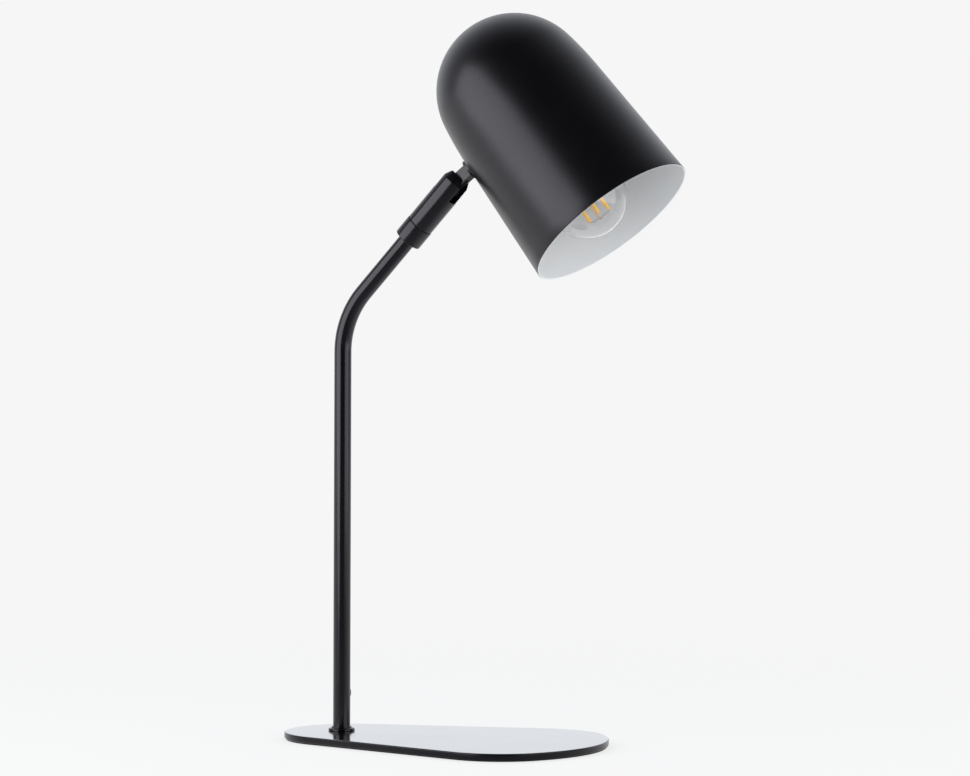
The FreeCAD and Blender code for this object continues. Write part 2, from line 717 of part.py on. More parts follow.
def make_stem_tube():
    """Tube swept along an upright run, a bend and the straight arm, with the inlet's hole."""
    body = new_body("stem_tube", table)
    path = new_sketch(body, "XZ_Plane")
    foot = FreeCAD.Vector(0, read("plate_top"), 0)
    knee = FreeCAD.Vector(0, read("stem_rise"), 0)
    bend_end = FreeCAD.Vector(read("bend_end_x"), read("bend_end_z"), 0)
    run = arm_frame.multVec(FreeCAD.Vector(0, 0, read("arm_end")))
    tip = FreeCAD.Vector(run.x, run.z, 0)
    middle = FreeCAD.Vector(read("bend_radius"), read("stem_rise"), 0)
    swing = FreeCAD.Rotation(FreeCAD.Vector(0, 0, 1), read("bend_turn"))
    up = FreeCAD.Vector(0, 0, 1)
    west = FreeCAD.Vector(-1, 0, 0)
    east = FreeCAD.Vector(1, 0, 0)
    leave = (bend_end - middle).getAngle(east)
    path.addGeometry(Part.LineSegment(foot, knee), False)
    bend = Part.Circle(middle, up, read("bend_radius"))
    path.addGeometry(Part.ArcOfCircle(bend, leave, west.getAngle(east)), False)
    path.addGeometry(Part.LineSegment(bend_end, tip), False)
    hold(path, "DistanceX", 0, 1, "0")
    hold(path, "DistanceY", 0, 1, "plate_top")
    hold(path, "DistanceX", 0, 2, "0")
    hold(path, "DistanceY", 0, 2, "stem_rise")
    path.addConstraint(Sketcher.Constraint("Tangent", 0, 2, 1, 2))
    path.addConstraint(Sketcher.Constraint("Tangent", 1, 1, 2, 1))
    hold_radius(path, 1, "bend_radius")
    hold(path, "DistanceX", 2, 1, "bend_end_x")
    length = path.addConstraint(Sketcher.Constraint("Distance", 2, read("arm_end")))
    path.setExpression(f"Constraints[{length}]", bound("arm_end"))
    section = new_sketch(body, "XY_Plane")
    lift(section, "plate_top")
    draw_circle(section, "0", "0", "stem_radius")
    draw_circle(section, "0", "0", "stem_bore_radius")
    pipe = body.newObject("PartDesign::AdditivePipe", "Pipe")
    pipe.Profile = section
    pipe.Spine = path
    body.Tip = pipe
    drill(body, "XZ_Plane", "0", "inlet_height", "inlet_hole_radius", "slot_side")
    return body


def make_cord_inlet():
    """Rubber grommet: a neck through the tube's wall, with a curved lip outside and inside."""
    reach = total("outer_lip_radius + overrun")
    middle = FreeCAD.Vector(0, 0, read("inlet_height"))
    tall = read("inlet_lip_radius") + read("overrun")
    low = middle - FreeCAD.Vector(0, 0, tall)

    def rod(radius):
        return Part.makeCylinder(read(radius), reach, middle, ACROSS)

    def shell(inner, outer):
        outside = Part.makeCylinder(read(outer), 2 * tall, low)
        return outside.cut(Part.makeCylinder(read(inner), 2 * tall, low))

    outer_lip = rod("inlet_lip_radius").common(shell("stem_outer_fit", "outer_lip_radius"))
    inner_lip = rod("inlet_inner_lip_radius").common(shell("inner_lip_radius", "stem_inner_fit"))
    neck = rod("inlet_neck_radius").common(shell("inner_lip_radius", "outer_lip_radius"))
    shape = outer_lip.fuse([inner_lip, neck]).cut(rod("inlet_bore_radius")).removeSplitter()
    grommet = doc.addObject("Part::Feature", "Grommet")
    grommet.Label = "cord_inlet"
    grommet.Shape = shape
    grommet.Placement = table
    pieces.append(grommet)
    return grommet


make_stem_tube()
make_cord_inlet()


# Collar and swivel

collar = turned("arm_collar", [
    ("socket_radius", "collar_start"),
    ("collar_radius - collar_chamfer", "collar_start"),
    ("collar_radius", "collar_start + collar_chamfer"),
    ("collar_radius", "collar_top - seam_chamfer"),
    ("collar_radius - seam_chamfer", "collar_top"),
    ("collar_stud_hole", "collar_top"),
    ("collar_stud_hole", "arm_end"),
    ("socket_radius", "arm_end"),
], arm_frame)
drill(collar, "XZ_Plane", "0", "set_screw_station", "set_screw_hole", "slot_side")

collar_screw = new_body("collar_screw", arm_frame)
screw_end = new_sketch(collar_screw, "XZ_Plane")
lift(screw_end, "- set_screw_end")
draw_circle(screw_end, "0", "set_screw_station", "set_screw_radius")
push(collar_screw, screw_end, "set_screw_end - stem_outer_fit")

spigot = turned("swivel_spigot", [
    ("spigot_bore_radius", "arm_end"),
    ("spigot_stud_radius", "arm_end"),
    ("spigot_stud_radius", "collar_top"),
    ("spigot_radius", "collar_top"),
    ("spigot_radius", "groove_low"),
    ("groove_radius", "groove_low"),
    ("groove_radius", "groove_high"),
    ("spigot_radius", "groove_high"),
    ("spigot_radius", "spigot_top"),
    ("spigot_bore_radius", "spigot_top"),
], arm_frame)
drill(spigot, "XZ_Plane", "0", "groove_middle", "stop_hole", "slot_side", reverse=True)

stop = new_body("swivel_stop", arm_frame)
stop_end = new_sketch(stop, "XZ_Plane")
lift(stop_end, "stop_inner")
draw_circle(stop_end, "0", "groove_middle", "stop_radius")
push(stop, stop_end, "stop_outer - stop_inner")

turned("swivel_washer", ring("seam_washer_inner", "seam_washer_outer", "collar_top", "seam_washer_top"),
       arm_frame)


# Knuckle

def make_knuckle():
    """Turned body on the spigot, with a slot across its tapered end and a blind hole for the pin."""
    body = turned("knuckle_body", [
        ("knuckle_bore_radius", "knuckle_start"),
        ("knuckle_radius - seam_chamfer", "knuckle_start"),
        ("knuckle_radius", "knuckle_start + seam_chamfer"),
        ("knuckle_radius", "knuckle_end - cheek_taper_height"),
        ("knuckle_radius - cheek_taper", "knuckle_end"),
        ("0", "knuckle_end"),
        ("0", "knuckle_bore_top"),
        ("knuckle_bore_radius", "knuckle_bore_top"),
    ], arm_frame)
    lead_bore = new_sketch(body, "XY_Plane")
    lift(lead_bore, "knuckle_bore_top")
    draw_circle(lead_bore, "0", "0", "lead_bore_radius")
    push(body, lead_bore, "knuckle_end - knuckle_bore_top", "PartDesign::Pocket", reverse=True)
    slot = new_sketch(body, "XZ_Plane")
    draw_outline(slot, [
        ("- slot_side", "slot_bottom"),
        ("slot_side", "slot_bottom"),
        ("slot_side", "slot_over"),
        ("- slot_side", "slot_over"),
    ])
    push(body, slot, "slot_width", "PartDesign::Pocket", "Symmetric")
    pin_hole = new_sketch(body, "XZ_Plane")
    lift(pin_hole, "pivot_hole_end")
    draw_circle(pin_hole, "0", "pivot_height", "pivot_hole")
    push(body, pin_hole, "pivot_hole_end + slot_side", "PartDesign::Pocket")
    drill(body, "XZ_Plane", "0", "groove_middle", "guide_screw_hole", "slot_side")
    return body


make_knuckle()

guide_screw = new_body("swivel_guide_screw", arm_frame)
guide_end = new_sketch(guide_screw, "XZ_Plane")
lift(guide_end, "- guide_screw_end")
draw_circle(guide_end, "0", "groove_middle", "guide_screw_radius")
push(guide_screw, guide_end, "guide_screw_end - guide_screw_tip")

pivot_pin = new_body("pivot_pin", arm_frame)
pin_section = new_sketch(pivot_pin, "XZ_Plane")
lift(pin_section, "- pivot_end")
draw_circle(pin_section, "0", "pivot_height", "pivot_radius")
push(pivot_pin, pin_section, "pivot_end + pivot_blind_end")


def make_tilt_washers():
    """Two thin steel washers, one against each cheek of the slot."""
    washers = []
    for label, offset in (("Near", "slot_half"), ("Far", "tilt_washer_thickness - slot_half")):
        body = doc.addObject("PartDesign::Body", label + "Washer")
        body.Placement = arm_frame
        sketch = new_sketch(body, "XZ_Plane")
        lift(sketch, offset)
        draw_circle(sketch, "0", "pivot_height", "tilt_washer_radius")
        draw_circle(sketch, "0", "pivot_height", "pivot_run")
        push(body, sketch, "tilt_washer_thickness", reverse=True)
        washers.append(body)
    pair = doc.addObject("Part::Compound", "Pair")
    pair.Label = "tilt_washers"
    pair.Links = washers
    pieces.append(pair)
    return pair


make_tilt_washers()


# Tongue and the fasteners that hold the shade

def make_tongue():
    """Eye and neck cut from one bar, with a flange and a hollow stud, and a way for the leads."""
    body = new_body("knuckle_tongue", tongue_frame)
    side_view = new_sketch(body, "XZ_Plane")
    draw_circle(side_view, "0", "0", "eye_radius")
    push(body, side_view, "eye_thickness", side="Symmetric")
    neck = new_sketch(body, "XZ_Plane")
    draw_outline(neck, [
        ("- neck_half", "0"),
        ("neck_half", "0"),
        ("neck_half", "neck_length"),
        ("- neck_half", "neck_length"),
    ])
    push(body, neck, "eye_thickness", side="Symmetric")
    stud = new_sketch(body, "XZ_Plane")
    draw_outline(stud, [
        ("0", "neck_length"),
        ("tongue_flange_radius", "neck_length"),
        ("tongue_flange_radius", "tongue_face"),
        ("stud_radius", "tongue_face"),
        ("stud_radius", "stud_end"),
        ("0", "stud_end"),
    ])
    spin(body, stud)
    bore = new_sketch(body, "XY_Plane")
    lift(bore, "eye_bore_start")
    draw_circle(bore, "0", "0", "stud_bore_radius")
    push(body, bore, "stud_end - eye_bore_start", "PartDesign::Pocket", reverse=True)
    drill(body, "XZ_Plane", "0", "0", "pivot_run", "slot_span", "Symmetric")
    groove = new_sketch(body, "XZ_Plane")
    draw_outline(groove, [
        ("0", "- eye_clear"),
        ("eye_clear", "- eye_clear"),
        ("eye_clear", "0"),
        ("eye_clear", "lead_notch_end"),
        ("stud_bore_radius", "lead_notch_end"),
        ("- stud_bore_radius", "lead_notch_end - stud_bore_radius"),
        ("eye_groove_radius", "lead_notch_start"),
        ("eye_groove_radius", "0", ("0", "0", "eye_groove_radius")),
        ("0", "- eye_groove_radius"),
    ])
    push(body, groove, "lead_width", "PartDesign::Pocket", "Symmetric")
    return body


def make_saddle():
    """Washer between the flange and the shade, hollowed to the shade's round wall."""
    body = new_body("shade_saddle", tongue_frame)
    disc = new_sketch(body, "XY_Plane")
    lift(disc, "tongue_face")
    draw_circle(disc, "0", "0", "saddle_radius")
    draw_circle(disc, "0", "0", "saddle_hole")
    push(body, disc, "saddle_blank")
    hollow = new_sketch(body, "XZ_Plane")
    draw_outline(hollow, [
        ("- saddle_side", "axis_reach"),
        ("- saddle_side", "saddle_wall_far"),
        ("saddle_side", "saddle_wall_near"),
        ("saddle_side", "axis_reach"),
    ])
    start = FreeCAD.Vector(-read("saddle_side"), read("axis_reach"), 0)
    end = FreeCAD.Vector(read("saddle_side"), read("axis_reach"), 0)
    axis = hollow.addGeometry(Part.LineSegment(start, end), True)
    hollow.addConstraint(Sketcher.Constraint("Coincident", axis, 1, 0, 1))
    hollow.addConstraint(Sketcher.Constraint("Coincident", axis, 2, 3, 1))
    spin(body, hollow, "PartDesign::Groove", "Axis0")
    return body


make_tongue()
make_saddle()


def hex_nut(label, start, end, bore, place):
    """Six-sided nut along its own axis, bored to clear what it is screwed on."""
    body = new_body(label, place)
    sketch = new_sketch(body, "XY_Plane")
    lift(sketch, start)
    draw_outline(sketch, [
        ("nut_point", "0"),
        ("nut_flat_x", "nut_half_width"),
        ("- nut_flat_x", "nut_half_width"),
        ("- nut_point", "0"),
        ("- nut_flat_x", "- nut_half_width"),
        ("nut_flat_x", "- nut_half_width"),
    ])
    draw_circle(sketch, "0", "0", bore)
    push(body, sketch, end + " - " + start)
    return body


turned("star_washer", ring("saddle_hole", "star_washer_radius", "star_washer_start", "nut_start"),
       tongue_frame)
hex_nut("shade_nut", "nut_start", "nut_end", "saddle_hole", tongue_frame)


# Shade

def make_shade():
    """Spun shell: a flared skirt that eases through two arcs into a round crown."""
    flank = ("flank_centre_x", "flank_centre_z")
    shoulder = ("shoulder_centre_x", "shoulder_centre_z")
    crown = ("0", "crown_centre_z")
    body = turned("shade", [
        ("rim_radius", "0"),
        ("skirt_radius", "skirt_height", flank + ("flank_radius",)),
        ("flank_x", "flank_z", shoulder + ("shoulder_radius",)),
        ("shoulder_x", "shoulder_z", crown + ("crown_radius",)),
        ("0", "crown_top"),
        ("0", "crown_inner_top", crown + ("crown_inner_radius",)),
        ("shoulder_inner_x", "shoulder_inner_z", shoulder + ("shoulder_inner_radius",)),
        ("flank_inner_x", "flank_inner_z", flank + ("flank_inner_radius",)),
        ("skirt_inner_x", "skirt_inner_z"),
        ("rim_inner", "0"),
    ], head_frame)
    drill(body, "YZ_Plane", "0", "stud_station", "stud_hole", "rim_radius + overrun")
    return body


make_shade()


# Strap and lamp holder

def make_strap():
    """Bent steel strap from the stud, up past the holder and over its top."""
    body = new_body("holder_strap", head_frame)
    side_view = new_sketch(body, "XZ_Plane")
    draw_outline(side_view, [
        ("- strap_face", "pad_low"),
        ("- strap_face", "pad_high"),
        ("- strap_knee", "strap_top"),
        ("strap_end", "strap_top"),
        ("strap_end", "holder_top"),
        ("- strap_inner_knee", "holder_top"),
        ("- strap_back", "pad_high_inner"),
        ("- strap_back", "pad_low"),
    ])
    bar = push(body, side_view, "strap_width", side="Symmetric")
    doc.recompute()
    outer = [edge_across(bar, "- strap_face", "pad_high"), edge_across(bar, "- strap_knee", "strap_top")]
    bar = dress(body, bar, "PartDesign::Fillet", outer, "strap_outer_bend")
    doc.recompute()
    inner = [edge_across(bar, "- strap_back", "pad_high_inner"),
             edge_across(bar, "- strap_inner_knee", "holder_top")]
    dress(body, bar, "PartDesign::Fillet", inner, "strap_inner_bend")
    drill(body, "YZ_Plane", "0", "stud_station", "stud_hole", "rim_radius")
    nipple_way = new_sketch(body, "XY_Plane")
    lift(nipple_way, "strap_top")
    draw_circle(nipple_way, "- holder_offset", "0", "nipple_hole")
    push(body, nipple_way, "strap_thickness", "PartDesign::Pocket")
    return body


make_strap()
turned("holder_nipple", ring("nipple_bore_radius", "nipple_radius", "nipple_start", "nipple_end"),
       holder_frame)
hex_nut("holder_locknut", "strap_top", "lock_nut_end", "nipple_hole", holder_frame)

turned("holder_cap", [
    ("nipple_hole", "cap_inner_top"),
    ("holder_top_inner", "cap_inner_top"),
    ("holder_inner", "cap_inner_knee"),
    ("holder_inner", "holder_split"),
    ("holder_radius", "holder_split"),
    ("holder_radius", "holder_cap_knee"),
    ("holder_top_radius", "holder_top"),
    ("nipple_hole", "holder_top"),
], holder_frame)

turned("holder_skirt", [
    ("holder_throat", "holder_mouth"),
    ("holder_mouth_radius", "holder_mouth"),
    ("holder_radius", "holder_split"),
    ("holder_inner", "holder_split"),
    ("holder_mouth_inner", "holder_lip_top"),
    ("holder_throat", "holder_lip_top"),
], holder_frame)

turned("screw_shell", ring("shell_inner", "shell_outer", "shell_start", "shell_end"), holder_frame)

turned("holder_core", [
    ("core_rim_radius", "core_skirt_start"),
    ("core_rim_radius + shell_wall", "core_skirt_start"),
    ("core_rim_radius + shell_wall", "core_start"),
    ("core_radius", "core_start"),
    ("core_radius", "core_end"),
    ("0", "core_end"),
    ("0", "core_start"),
    ("core_rim_radius", "core_start"),
], holder_frame)

leaf = new_body("centre_contact", holder_frame)
leaf_plan = new_sketch(leaf, "XY_Plane")
lift(leaf_plan, "leaf_base")
draw_outline(leaf_plan, [
    ("- contact_radius", "- terminal_radius"),
    ("contact_radius + terminal_radius", "- terminal_radius"),
    ("contact_radius + terminal_radius", "terminal_radius"),
    ("- contact_radius", "terminal_radius"),
])
push(leaf, leaf_plan, "shell_wall")


def make_terminal_screws():
    """Two terminal screws on the back of the core."""
    screws = []
    for side in ("- terminal_spacing", "terminal_spacing"):
        body = doc.addObject("PartDesign::Body", "Terminal")
        body.Placement = holder_frame
        sketch = new_sketch(body, "XY_Plane")
        lift(sketch, "core_end")
        draw_circle(sketch, "0", side, "terminal_radius")
        push(body, sketch, "terminal_height")
        screws.append(body)
    pair = doc.addObject("Part::Compound", "Pair")
    pair.Label = "terminal_screws"
    pair.Links = screws
    pieces.append(pair)
    return pair


make_terminal_screws()


# Bulb

turned("bulb_glass", [
    ("0", "bulb_tip", ("0", "globe_middle", "bulb_radius")),
    ("bulb_radius", "globe_middle", ("0", "globe_middle", "bulb_radius")),
    ("globe_join_x", "globe_join_z"),
    ("glass_neck_radius", "neck_z"),
    ("glass_neck_radius", "glass_end"),
    ("neck_inner", "glass_end"),
    ("neck_inner", "neck_z"),
    ("globe_inner_x", "globe_inner_z", ("0", "globe_middle", "globe_inner_radius")),
    ("globe_inner_radius", "globe_middle", ("0", "globe_middle", "globe_inner_radius")),
    ("0", "globe_inner_tip"),
], holder_frame)

turned("bulb_cap", [
    ("cap_inner", "cap_start"),
    ("cap_radius", "cap_start"),
    ("cap_radius", "cap_turn_z"),
    ("cap_shoulder_radius", "cap_end"),
    ("cap_throat", "cap_end"),
    ("cap_inner", "cap_turn_z"),
], holder_frame)

turned("bulb_insulator", [
    ("0", "cap_end"),
    ("cap_shoulder_radius", "cap_end"),
    ("contact_radius", "insulator_end"),
    ("0", "insulator_end"),
], holder_frame)

turned("bulb_contact", [
    ("0", "insulator_end"),
    ("contact_radius", "insulator_end"),
    ("contact_radius - contact_height", "contact_end"),
    ("0", "contact_end"),
], holder_frame)

turned("bulb_mount", [
    ("0", "rod_tip"),
    ("mount_rod_radius", "rod_tip"),
    ("mount_rod_radius", "mount_start"),
    ("mount_top_radius", "mount_start"),
    ("mount_radius", "neck_z"),
    ("mount_foot_radius", "mount_foot"),
    ("mount_foot_radius", "glass_end"),
    ("0", "glass_end"),
], holder_frame)


def make_filament_wires():
    """Two four-armed wire stars round the mount's rod, one at each end of the filaments."""
    stars = []
    for label, low in (("Low", "low_wire"), ("High", "filament_high")):
        body = doc.addObject("PartDesign::Body", label + "Star")
        body.Placement = holder_frame
        hub = new_sketch(body, "XY_Plane")
        lift(hub, low)
        draw_circle(hub, "0", "0", "mount_rod_radius")
        draw_circle(hub, "0", "0", "wire_hub_radius")
        push(body, hub, "wire_width")
        arm = new_sketch(body, "XY_Plane")
        lift(arm, low)
        draw_outline(arm, [
            ("mount_rod_radius + wire_hub_wall - wire_half", "- wire_half"),
            ("wire_reach", "- wire_half"),
            ("wire_reach", "wire_half"),
            ("mount_rod_radius + wire_hub_wall - wire_half", "wire_half"),
        ])
        spoke = push(body, arm, "wire_width")
        doc.recompute()
        pattern = body.newObject("PartDesign::PolarPattern", "Pattern")
        pattern.Originals = [spoke]
        pattern.Axis = (hub, ["N_Axis"])
        pattern.Angle = FULL_TURN
        pattern.Occurrences = FILAMENTS
        body.Tip = pattern
        stars.append(body)
    group = doc.addObject("Part::Compound", "Stars")
    group.Label = "filament_wires"
    group.Links = stars
    pieces.append(group)
    return group


def make_filaments():
    """Four upright glowing rods about the axis."""
    rods = []
    for x, y in (("filament_circle", "0"), ("0", "filament_circle"),
                 ("- filament_circle", "0"), ("0", "- filament_circle")):
        body = doc.addObject("PartDesign::Body", "Rod")
        body.Placement = holder_frame
        sketch = new_sketch(body, "XY_Plane")
        lift(sketch, "filament_low")
        draw_circle(sketch, x, y, "filament_radius")
        push(body, sketch, "filament_length")
        rods.append(body)
    group = doc.addObject("Part::Compound", "Group")
    group.Label = "bulb_filaments"
    group.Links = rods
    pieces.append(group)
    return group


make_filament_wires()
make_filaments()


# Checks before anything is written

def check_and_export():
    """Stops on any failed object, empty cut or bad solid, then writes one file for each piece."""
    doc.recompute()
    for item in doc.Objects:
        if "Invalid" in item.State or "Error" in item.State:
            raise RuntimeError(f"{item.Label} failed: {item.State}")
        if item.TypeId in ("PartDesign::Pocket", "PartDesign::Groove"):
            if item.Shape.Volume >= item.BaseFeature.Shape.Volume:
                raise RuntimeError(f"{item.Label} cuts nothing")
    for piece in pieces:
        if piece.Shape.isNull() or not piece.Shape.isValid() or not piece.Shape.Solids:
            raise RuntimeError(f"{piece.Label} is not a sound solid")
    os.makedirs("parts", exist_ok=True)
    for piece in pieces:
        piece.Shape.exportStep(os.path.join("parts", piece.Label + ".step"))
        print(piece.Label, len(piece.Shape.Solids), round(piece.Shape.Volume))


check_and_export()
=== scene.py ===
# %% [markdown]
# # A desk lamp in black powder coat
#
# The real lamp is a bent steel tube on a thin pear-shaped plate. At the top of the tube a knuckle
# swivels and tilts, and it carries a spun bullet shade with a clear filament bulb in it. The packed
# model already holds every piece at its right size. This lesson gives the pieces their looks, and
# makes the ones that show again as smooth surfaces, worked out with numpy.

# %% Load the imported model
import json

import bmesh
import bpy
import numpy as np
from mathutils import Matrix, Vector

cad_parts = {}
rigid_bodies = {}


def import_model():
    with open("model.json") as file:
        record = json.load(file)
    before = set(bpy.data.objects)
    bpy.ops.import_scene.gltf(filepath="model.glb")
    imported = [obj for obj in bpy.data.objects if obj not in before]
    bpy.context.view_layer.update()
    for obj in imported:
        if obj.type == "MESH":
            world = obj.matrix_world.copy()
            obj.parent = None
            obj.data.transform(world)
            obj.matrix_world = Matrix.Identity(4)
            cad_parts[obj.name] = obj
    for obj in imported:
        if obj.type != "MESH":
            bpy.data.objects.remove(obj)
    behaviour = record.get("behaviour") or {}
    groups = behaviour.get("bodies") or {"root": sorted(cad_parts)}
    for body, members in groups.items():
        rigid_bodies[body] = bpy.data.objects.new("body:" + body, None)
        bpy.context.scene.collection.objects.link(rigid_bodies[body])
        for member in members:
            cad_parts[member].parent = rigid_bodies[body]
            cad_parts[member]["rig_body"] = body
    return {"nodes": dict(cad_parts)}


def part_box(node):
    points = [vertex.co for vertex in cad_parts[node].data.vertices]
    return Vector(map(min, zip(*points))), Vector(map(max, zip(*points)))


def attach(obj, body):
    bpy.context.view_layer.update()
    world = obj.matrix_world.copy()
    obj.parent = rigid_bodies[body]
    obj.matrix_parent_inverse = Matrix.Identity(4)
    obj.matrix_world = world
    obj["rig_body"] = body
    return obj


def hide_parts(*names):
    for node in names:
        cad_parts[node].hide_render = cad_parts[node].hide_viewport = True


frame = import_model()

scene = bpy.context.scene
nodes = frame["nodes"]
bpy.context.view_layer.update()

# %% [markdown]
# ## The camera
#
# The picture was taken from the lamp's side, a little to its front, almost level with the middle of
# the stem. A long lens from two metres away keeps upright lines upright. The heading, the tilt and
# the small roll are written as angles, because an angle is what a tripod head is set by.

# %% Set up the camera
PHOTO_WIDTH = 970
FOCAL_PIXELS = 2856.6
SENSOR_MM = 36.0
CAMERA_PLACE = (1.0090, -1.9162, 0.2531)
heading, tilt, roll = np.radians([24.92, -0.32, 0.18])

level_right = np.array([np.cos(heading), np.sin(heading), 0.0])
level_up = np.array([-np.sin(heading) * np.sin(tilt), np.cos(heading) * np.sin(tilt), np.cos(tilt)])
camera_right = np.cos(roll) * level_right + np.sin(roll) * level_up
camera_up = np.cos(roll) * level_up - np.sin(roll) * level_right
camera_back = np.cross(camera_right, camera_up)

lens = bpy.data.cameras.new("camera")
lens.sensor_width = SENSOR_MM
lens.lens = FOCAL_PIXELS * SENSOR_MM / PHOTO_WIDTH
camera = bpy.data.objects.new("camera", lens)
scene.collection.objects.link(camera)
axes = Matrix(np.column_stack([camera_right, camera_up, camera_back]).tolist())
camera.matrix_world = Matrix.Translation(CAMERA_PLACE) @ axes.to_4x4()
scene.camera = camera
scene.view_settings.view_transform = "Standard"
print("lens", round(lens.lens, 1), "mm, looking along", np.round(-camera_back, 3))

# %% [markdown]
# ## Surfaces from grids of points
#
# Almost every piece of this lamp is turned on a lathe, spun over a form or drawn through a die, so
# its surface is a grid: one direction runs along a section and the other round an axis or along a
# path. One function joins such a grid into a mesh. It works out the volume that the mesh closes, and
# a negative one tells that the faces look inwards, so they are all turned round.

# %% Join a grid of points into a mesh
MM = 0.001


def link(name, mesh):
    """Puts a mesh in the scene as an object at the origin."""
    piece = bpy.data.objects.new(name, mesh)
    scene.collection.objects.link(piece)
    return piece


def smooth(mesh, sharp_turn=38.0):
    """Shades a mesh smooth, but keeps the edges crisp where two faces meet at a larger turn."""
    mesh.polygons.foreach_set("use_smooth", np.ones(len(mesh.polygons), dtype=bool))
    mesh.set_sharp_from_angle(angle=np.radians(sharp_turn))


def surface(name, grid, ring=False, sharp_turn=38.0):
    """Mesh from a grid of points, rows by columns by 3, closed round its columns.

    The quad at row i and column j joins points (i, j), (i, j+1), (i+1, j+1) and (i+1, j). With ring,
    the last row is joined to the first. Points that fall together, as at a pole, are merged.
    """
    rows, columns = grid.shape[:2]
    spans = rows if ring else rows - 1
    i, j = np.meshgrid(np.arange(spans), np.arange(columns), indexing="ij")
    i_next, j_next = (i + 1) % rows, (j + 1) % columns
    corners = [i * columns + j, i * columns + j_next, i_next * columns + j_next, i_next * columns + j]
    quads = np.stack(corners, -1).reshape(-1, 4)
    points = grid.reshape(-1, 3)
    a, b, c, d = (points[quads[:, k]] for k in range(4))
    volume = (a * (np.cross(b, c) + np.cross(c, d))).sum() / 6
    if volume < 0:
        quads = quads[:, ::-1]
    mesh = bpy.data.meshes.new(name)
    mesh.from_pydata(points.tolist(), [], quads.tolist())
    work = bmesh.new()
    work.from_mesh(mesh)
    bmesh.ops.remove_doubles(work, verts=work.verts, dist=1e-7)
    work.to_mesh(mesh)
    work.free()
    smooth(mesh, sharp_turn)
    return link(name, mesh)


# %% [markdown]
# A turned piece needs a section and a place to stand. The lamp has five such places: the table under
# the stem, the end of the bend, the tilt pivot, the middle of the shade's rim, and the axis of the
# lamp holder, which lies a little nearer to the knuckle than the shade's own axis.

# %% The five places that pieces stand on
def place(origin, lean):
    """A place is an origin in millimetres and two directions: up, leaning from +Z towards +X by an
    angle in degrees, and east, square to it in the same upright plane."""
    turn = np.radians(lean)
    up = np.array([np.sin(turn), 0.0, np.cos(turn)])
    east = np.array([np.cos(turn), 0.0, -np.sin(turn)])
    return np.array(origin, float), up, east


ACROSS = np.array([0.0, 1.0, 0.0])


def at(spot, east_mm, side_mm, up_mm):
    """A point of a place in metres: origin + east_mm east + side_mm Y + up_mm up."""
    origin, up, east = spot
    return (origin + east_mm * east + side_mm * ACROSS + up_mm * up) * MM


def around(sides):
    """Evenly spaced turns of a full circle, in radians."""
    return np.linspace(0, 2 * np.pi, sides, endpoint=False)


def spokes_of(spot, t):
    """Directions square to a place's up, at turns t: cos t east + sin t Y."""
    return np.cos(t)[:, None] * spot[2] + np.sin(t)[:, None] * ACROSS


def round_points(spot, radius, height, t):
    """Grid of points in metres: origin + r (cos t east + sin t Y) + h up, a row for each ring."""
    origin, up, _ = spot
    return (radius[..., None] * spokes_of(spot, t) + height[..., None] * up + origin) * MM


BEND_TURN = 43.3
HEAD_DROOP = 38.31
HOLDER_OFFSET = 4.3
TABLE = place((0.0, 0.0, 0.0), 0.0)
ARM = place((17.749, 0.0, 337.015), BEND_TURN)
PIVOT = place((89.760, 0.0, 413.431), 90.0 - HEAD_DROOP)
HEAD = place((219.720, 0.0, 384.839), -HEAD_DROOP)
HOLDER = place(at(HEAD, -HOLDER_OFFSET, 0.0, 0.0) / MM, -HEAD_DROOP)
print("pivot at", PIVOT[0], "rim centre at", HEAD[0])


def turned(name, section, spot, sides=96, ring=False, sharp_turn=38.0):
    """Surface of revolution: each row of the section, a radius and a height, becomes a ring."""
    section = np.asarray(section, float)
    grid = round_points(spot, section[:, :1], section[:, 1:], around(sides))
    return surface(name, grid, ring, sharp_turn)


# %% [markdown]
# No metal part has a corner with no radius: the tool leaves one, and the coat rounds it further. So
# a section is given by its corners, each with the length over which it is eased.

# %% Ease the corners of a section
def eased(corners, steps=5, closed=False):
    """Polyline through (x, y, ease) corners with each corner rounded.

    Between a = p + ease (before) and b = p + ease (after) the curve is the quadratic blend
    (1-t)^2 a + 2 t (1-t) p + t^2 b, which leaves a and b along the two straight sides.
    """
    rows = []
    count = len(corners)
    for number, (x, y, ease) in enumerate(corners):
        here = np.array([x, y])
        before = np.array(corners[number - 1][:2])
        after = np.array(corners[(number + 1) % count][:2])
        at_end = not closed and number in (0, count - 1)
        if ease == 0 or at_end:
            rows.append(here[None])
            continue
        a = here + ease * (before - here) / np.linalg.norm(before - here)
        b = here + ease * (after - here) / np.linalg.norm(after - here)
        t = np.linspace(0, 1, steps)[:, None]
        rows.append((1 - t) ** 2 * a + 2 * t * (1 - t) * here + t ** 2 * b)
    return np.concatenate(rows)


def arc(centre, radius, start, end, steps):
    """Points on a circle from one turn to another, in degrees: centre + radius (cos t, sin t)."""
    t = np.radians(np.linspace(start, end, steps))
    return np.stack([centre[0] + radius * np.cos(t), centre[1] + radius * np.sin(t)], 1)


# %% [markdown]
# ## Finishes
#
# Five effects are shared by several finishes, so each is a node group that is built once: the orange
# peel of powder coat, the fine lines of turned metal, the skin of moulded plastic and rubber, the
# wear along edges, and the faint veil of dust that settles on faces that look up. They read Object
# coordinates in metres, so a scale of 900 means a pattern of about a millimetre.

# %% Helpers for shader nodes
def add(tree, kind, **settings):
    """A new shader node of a kind, with settings such as its operation."""
    node = tree.nodes.new("ShaderNode" + kind)
    for title, value in settings.items():
        setattr(node, title, value)
    return node


def feed(tree, value, socket):
    """Sets a socket from a plain value or links another node's output to it."""
    if isinstance(value, bpy.types.NodeSocket):
        tree.links.new(value, socket)
    else:
        socket.default_value = value


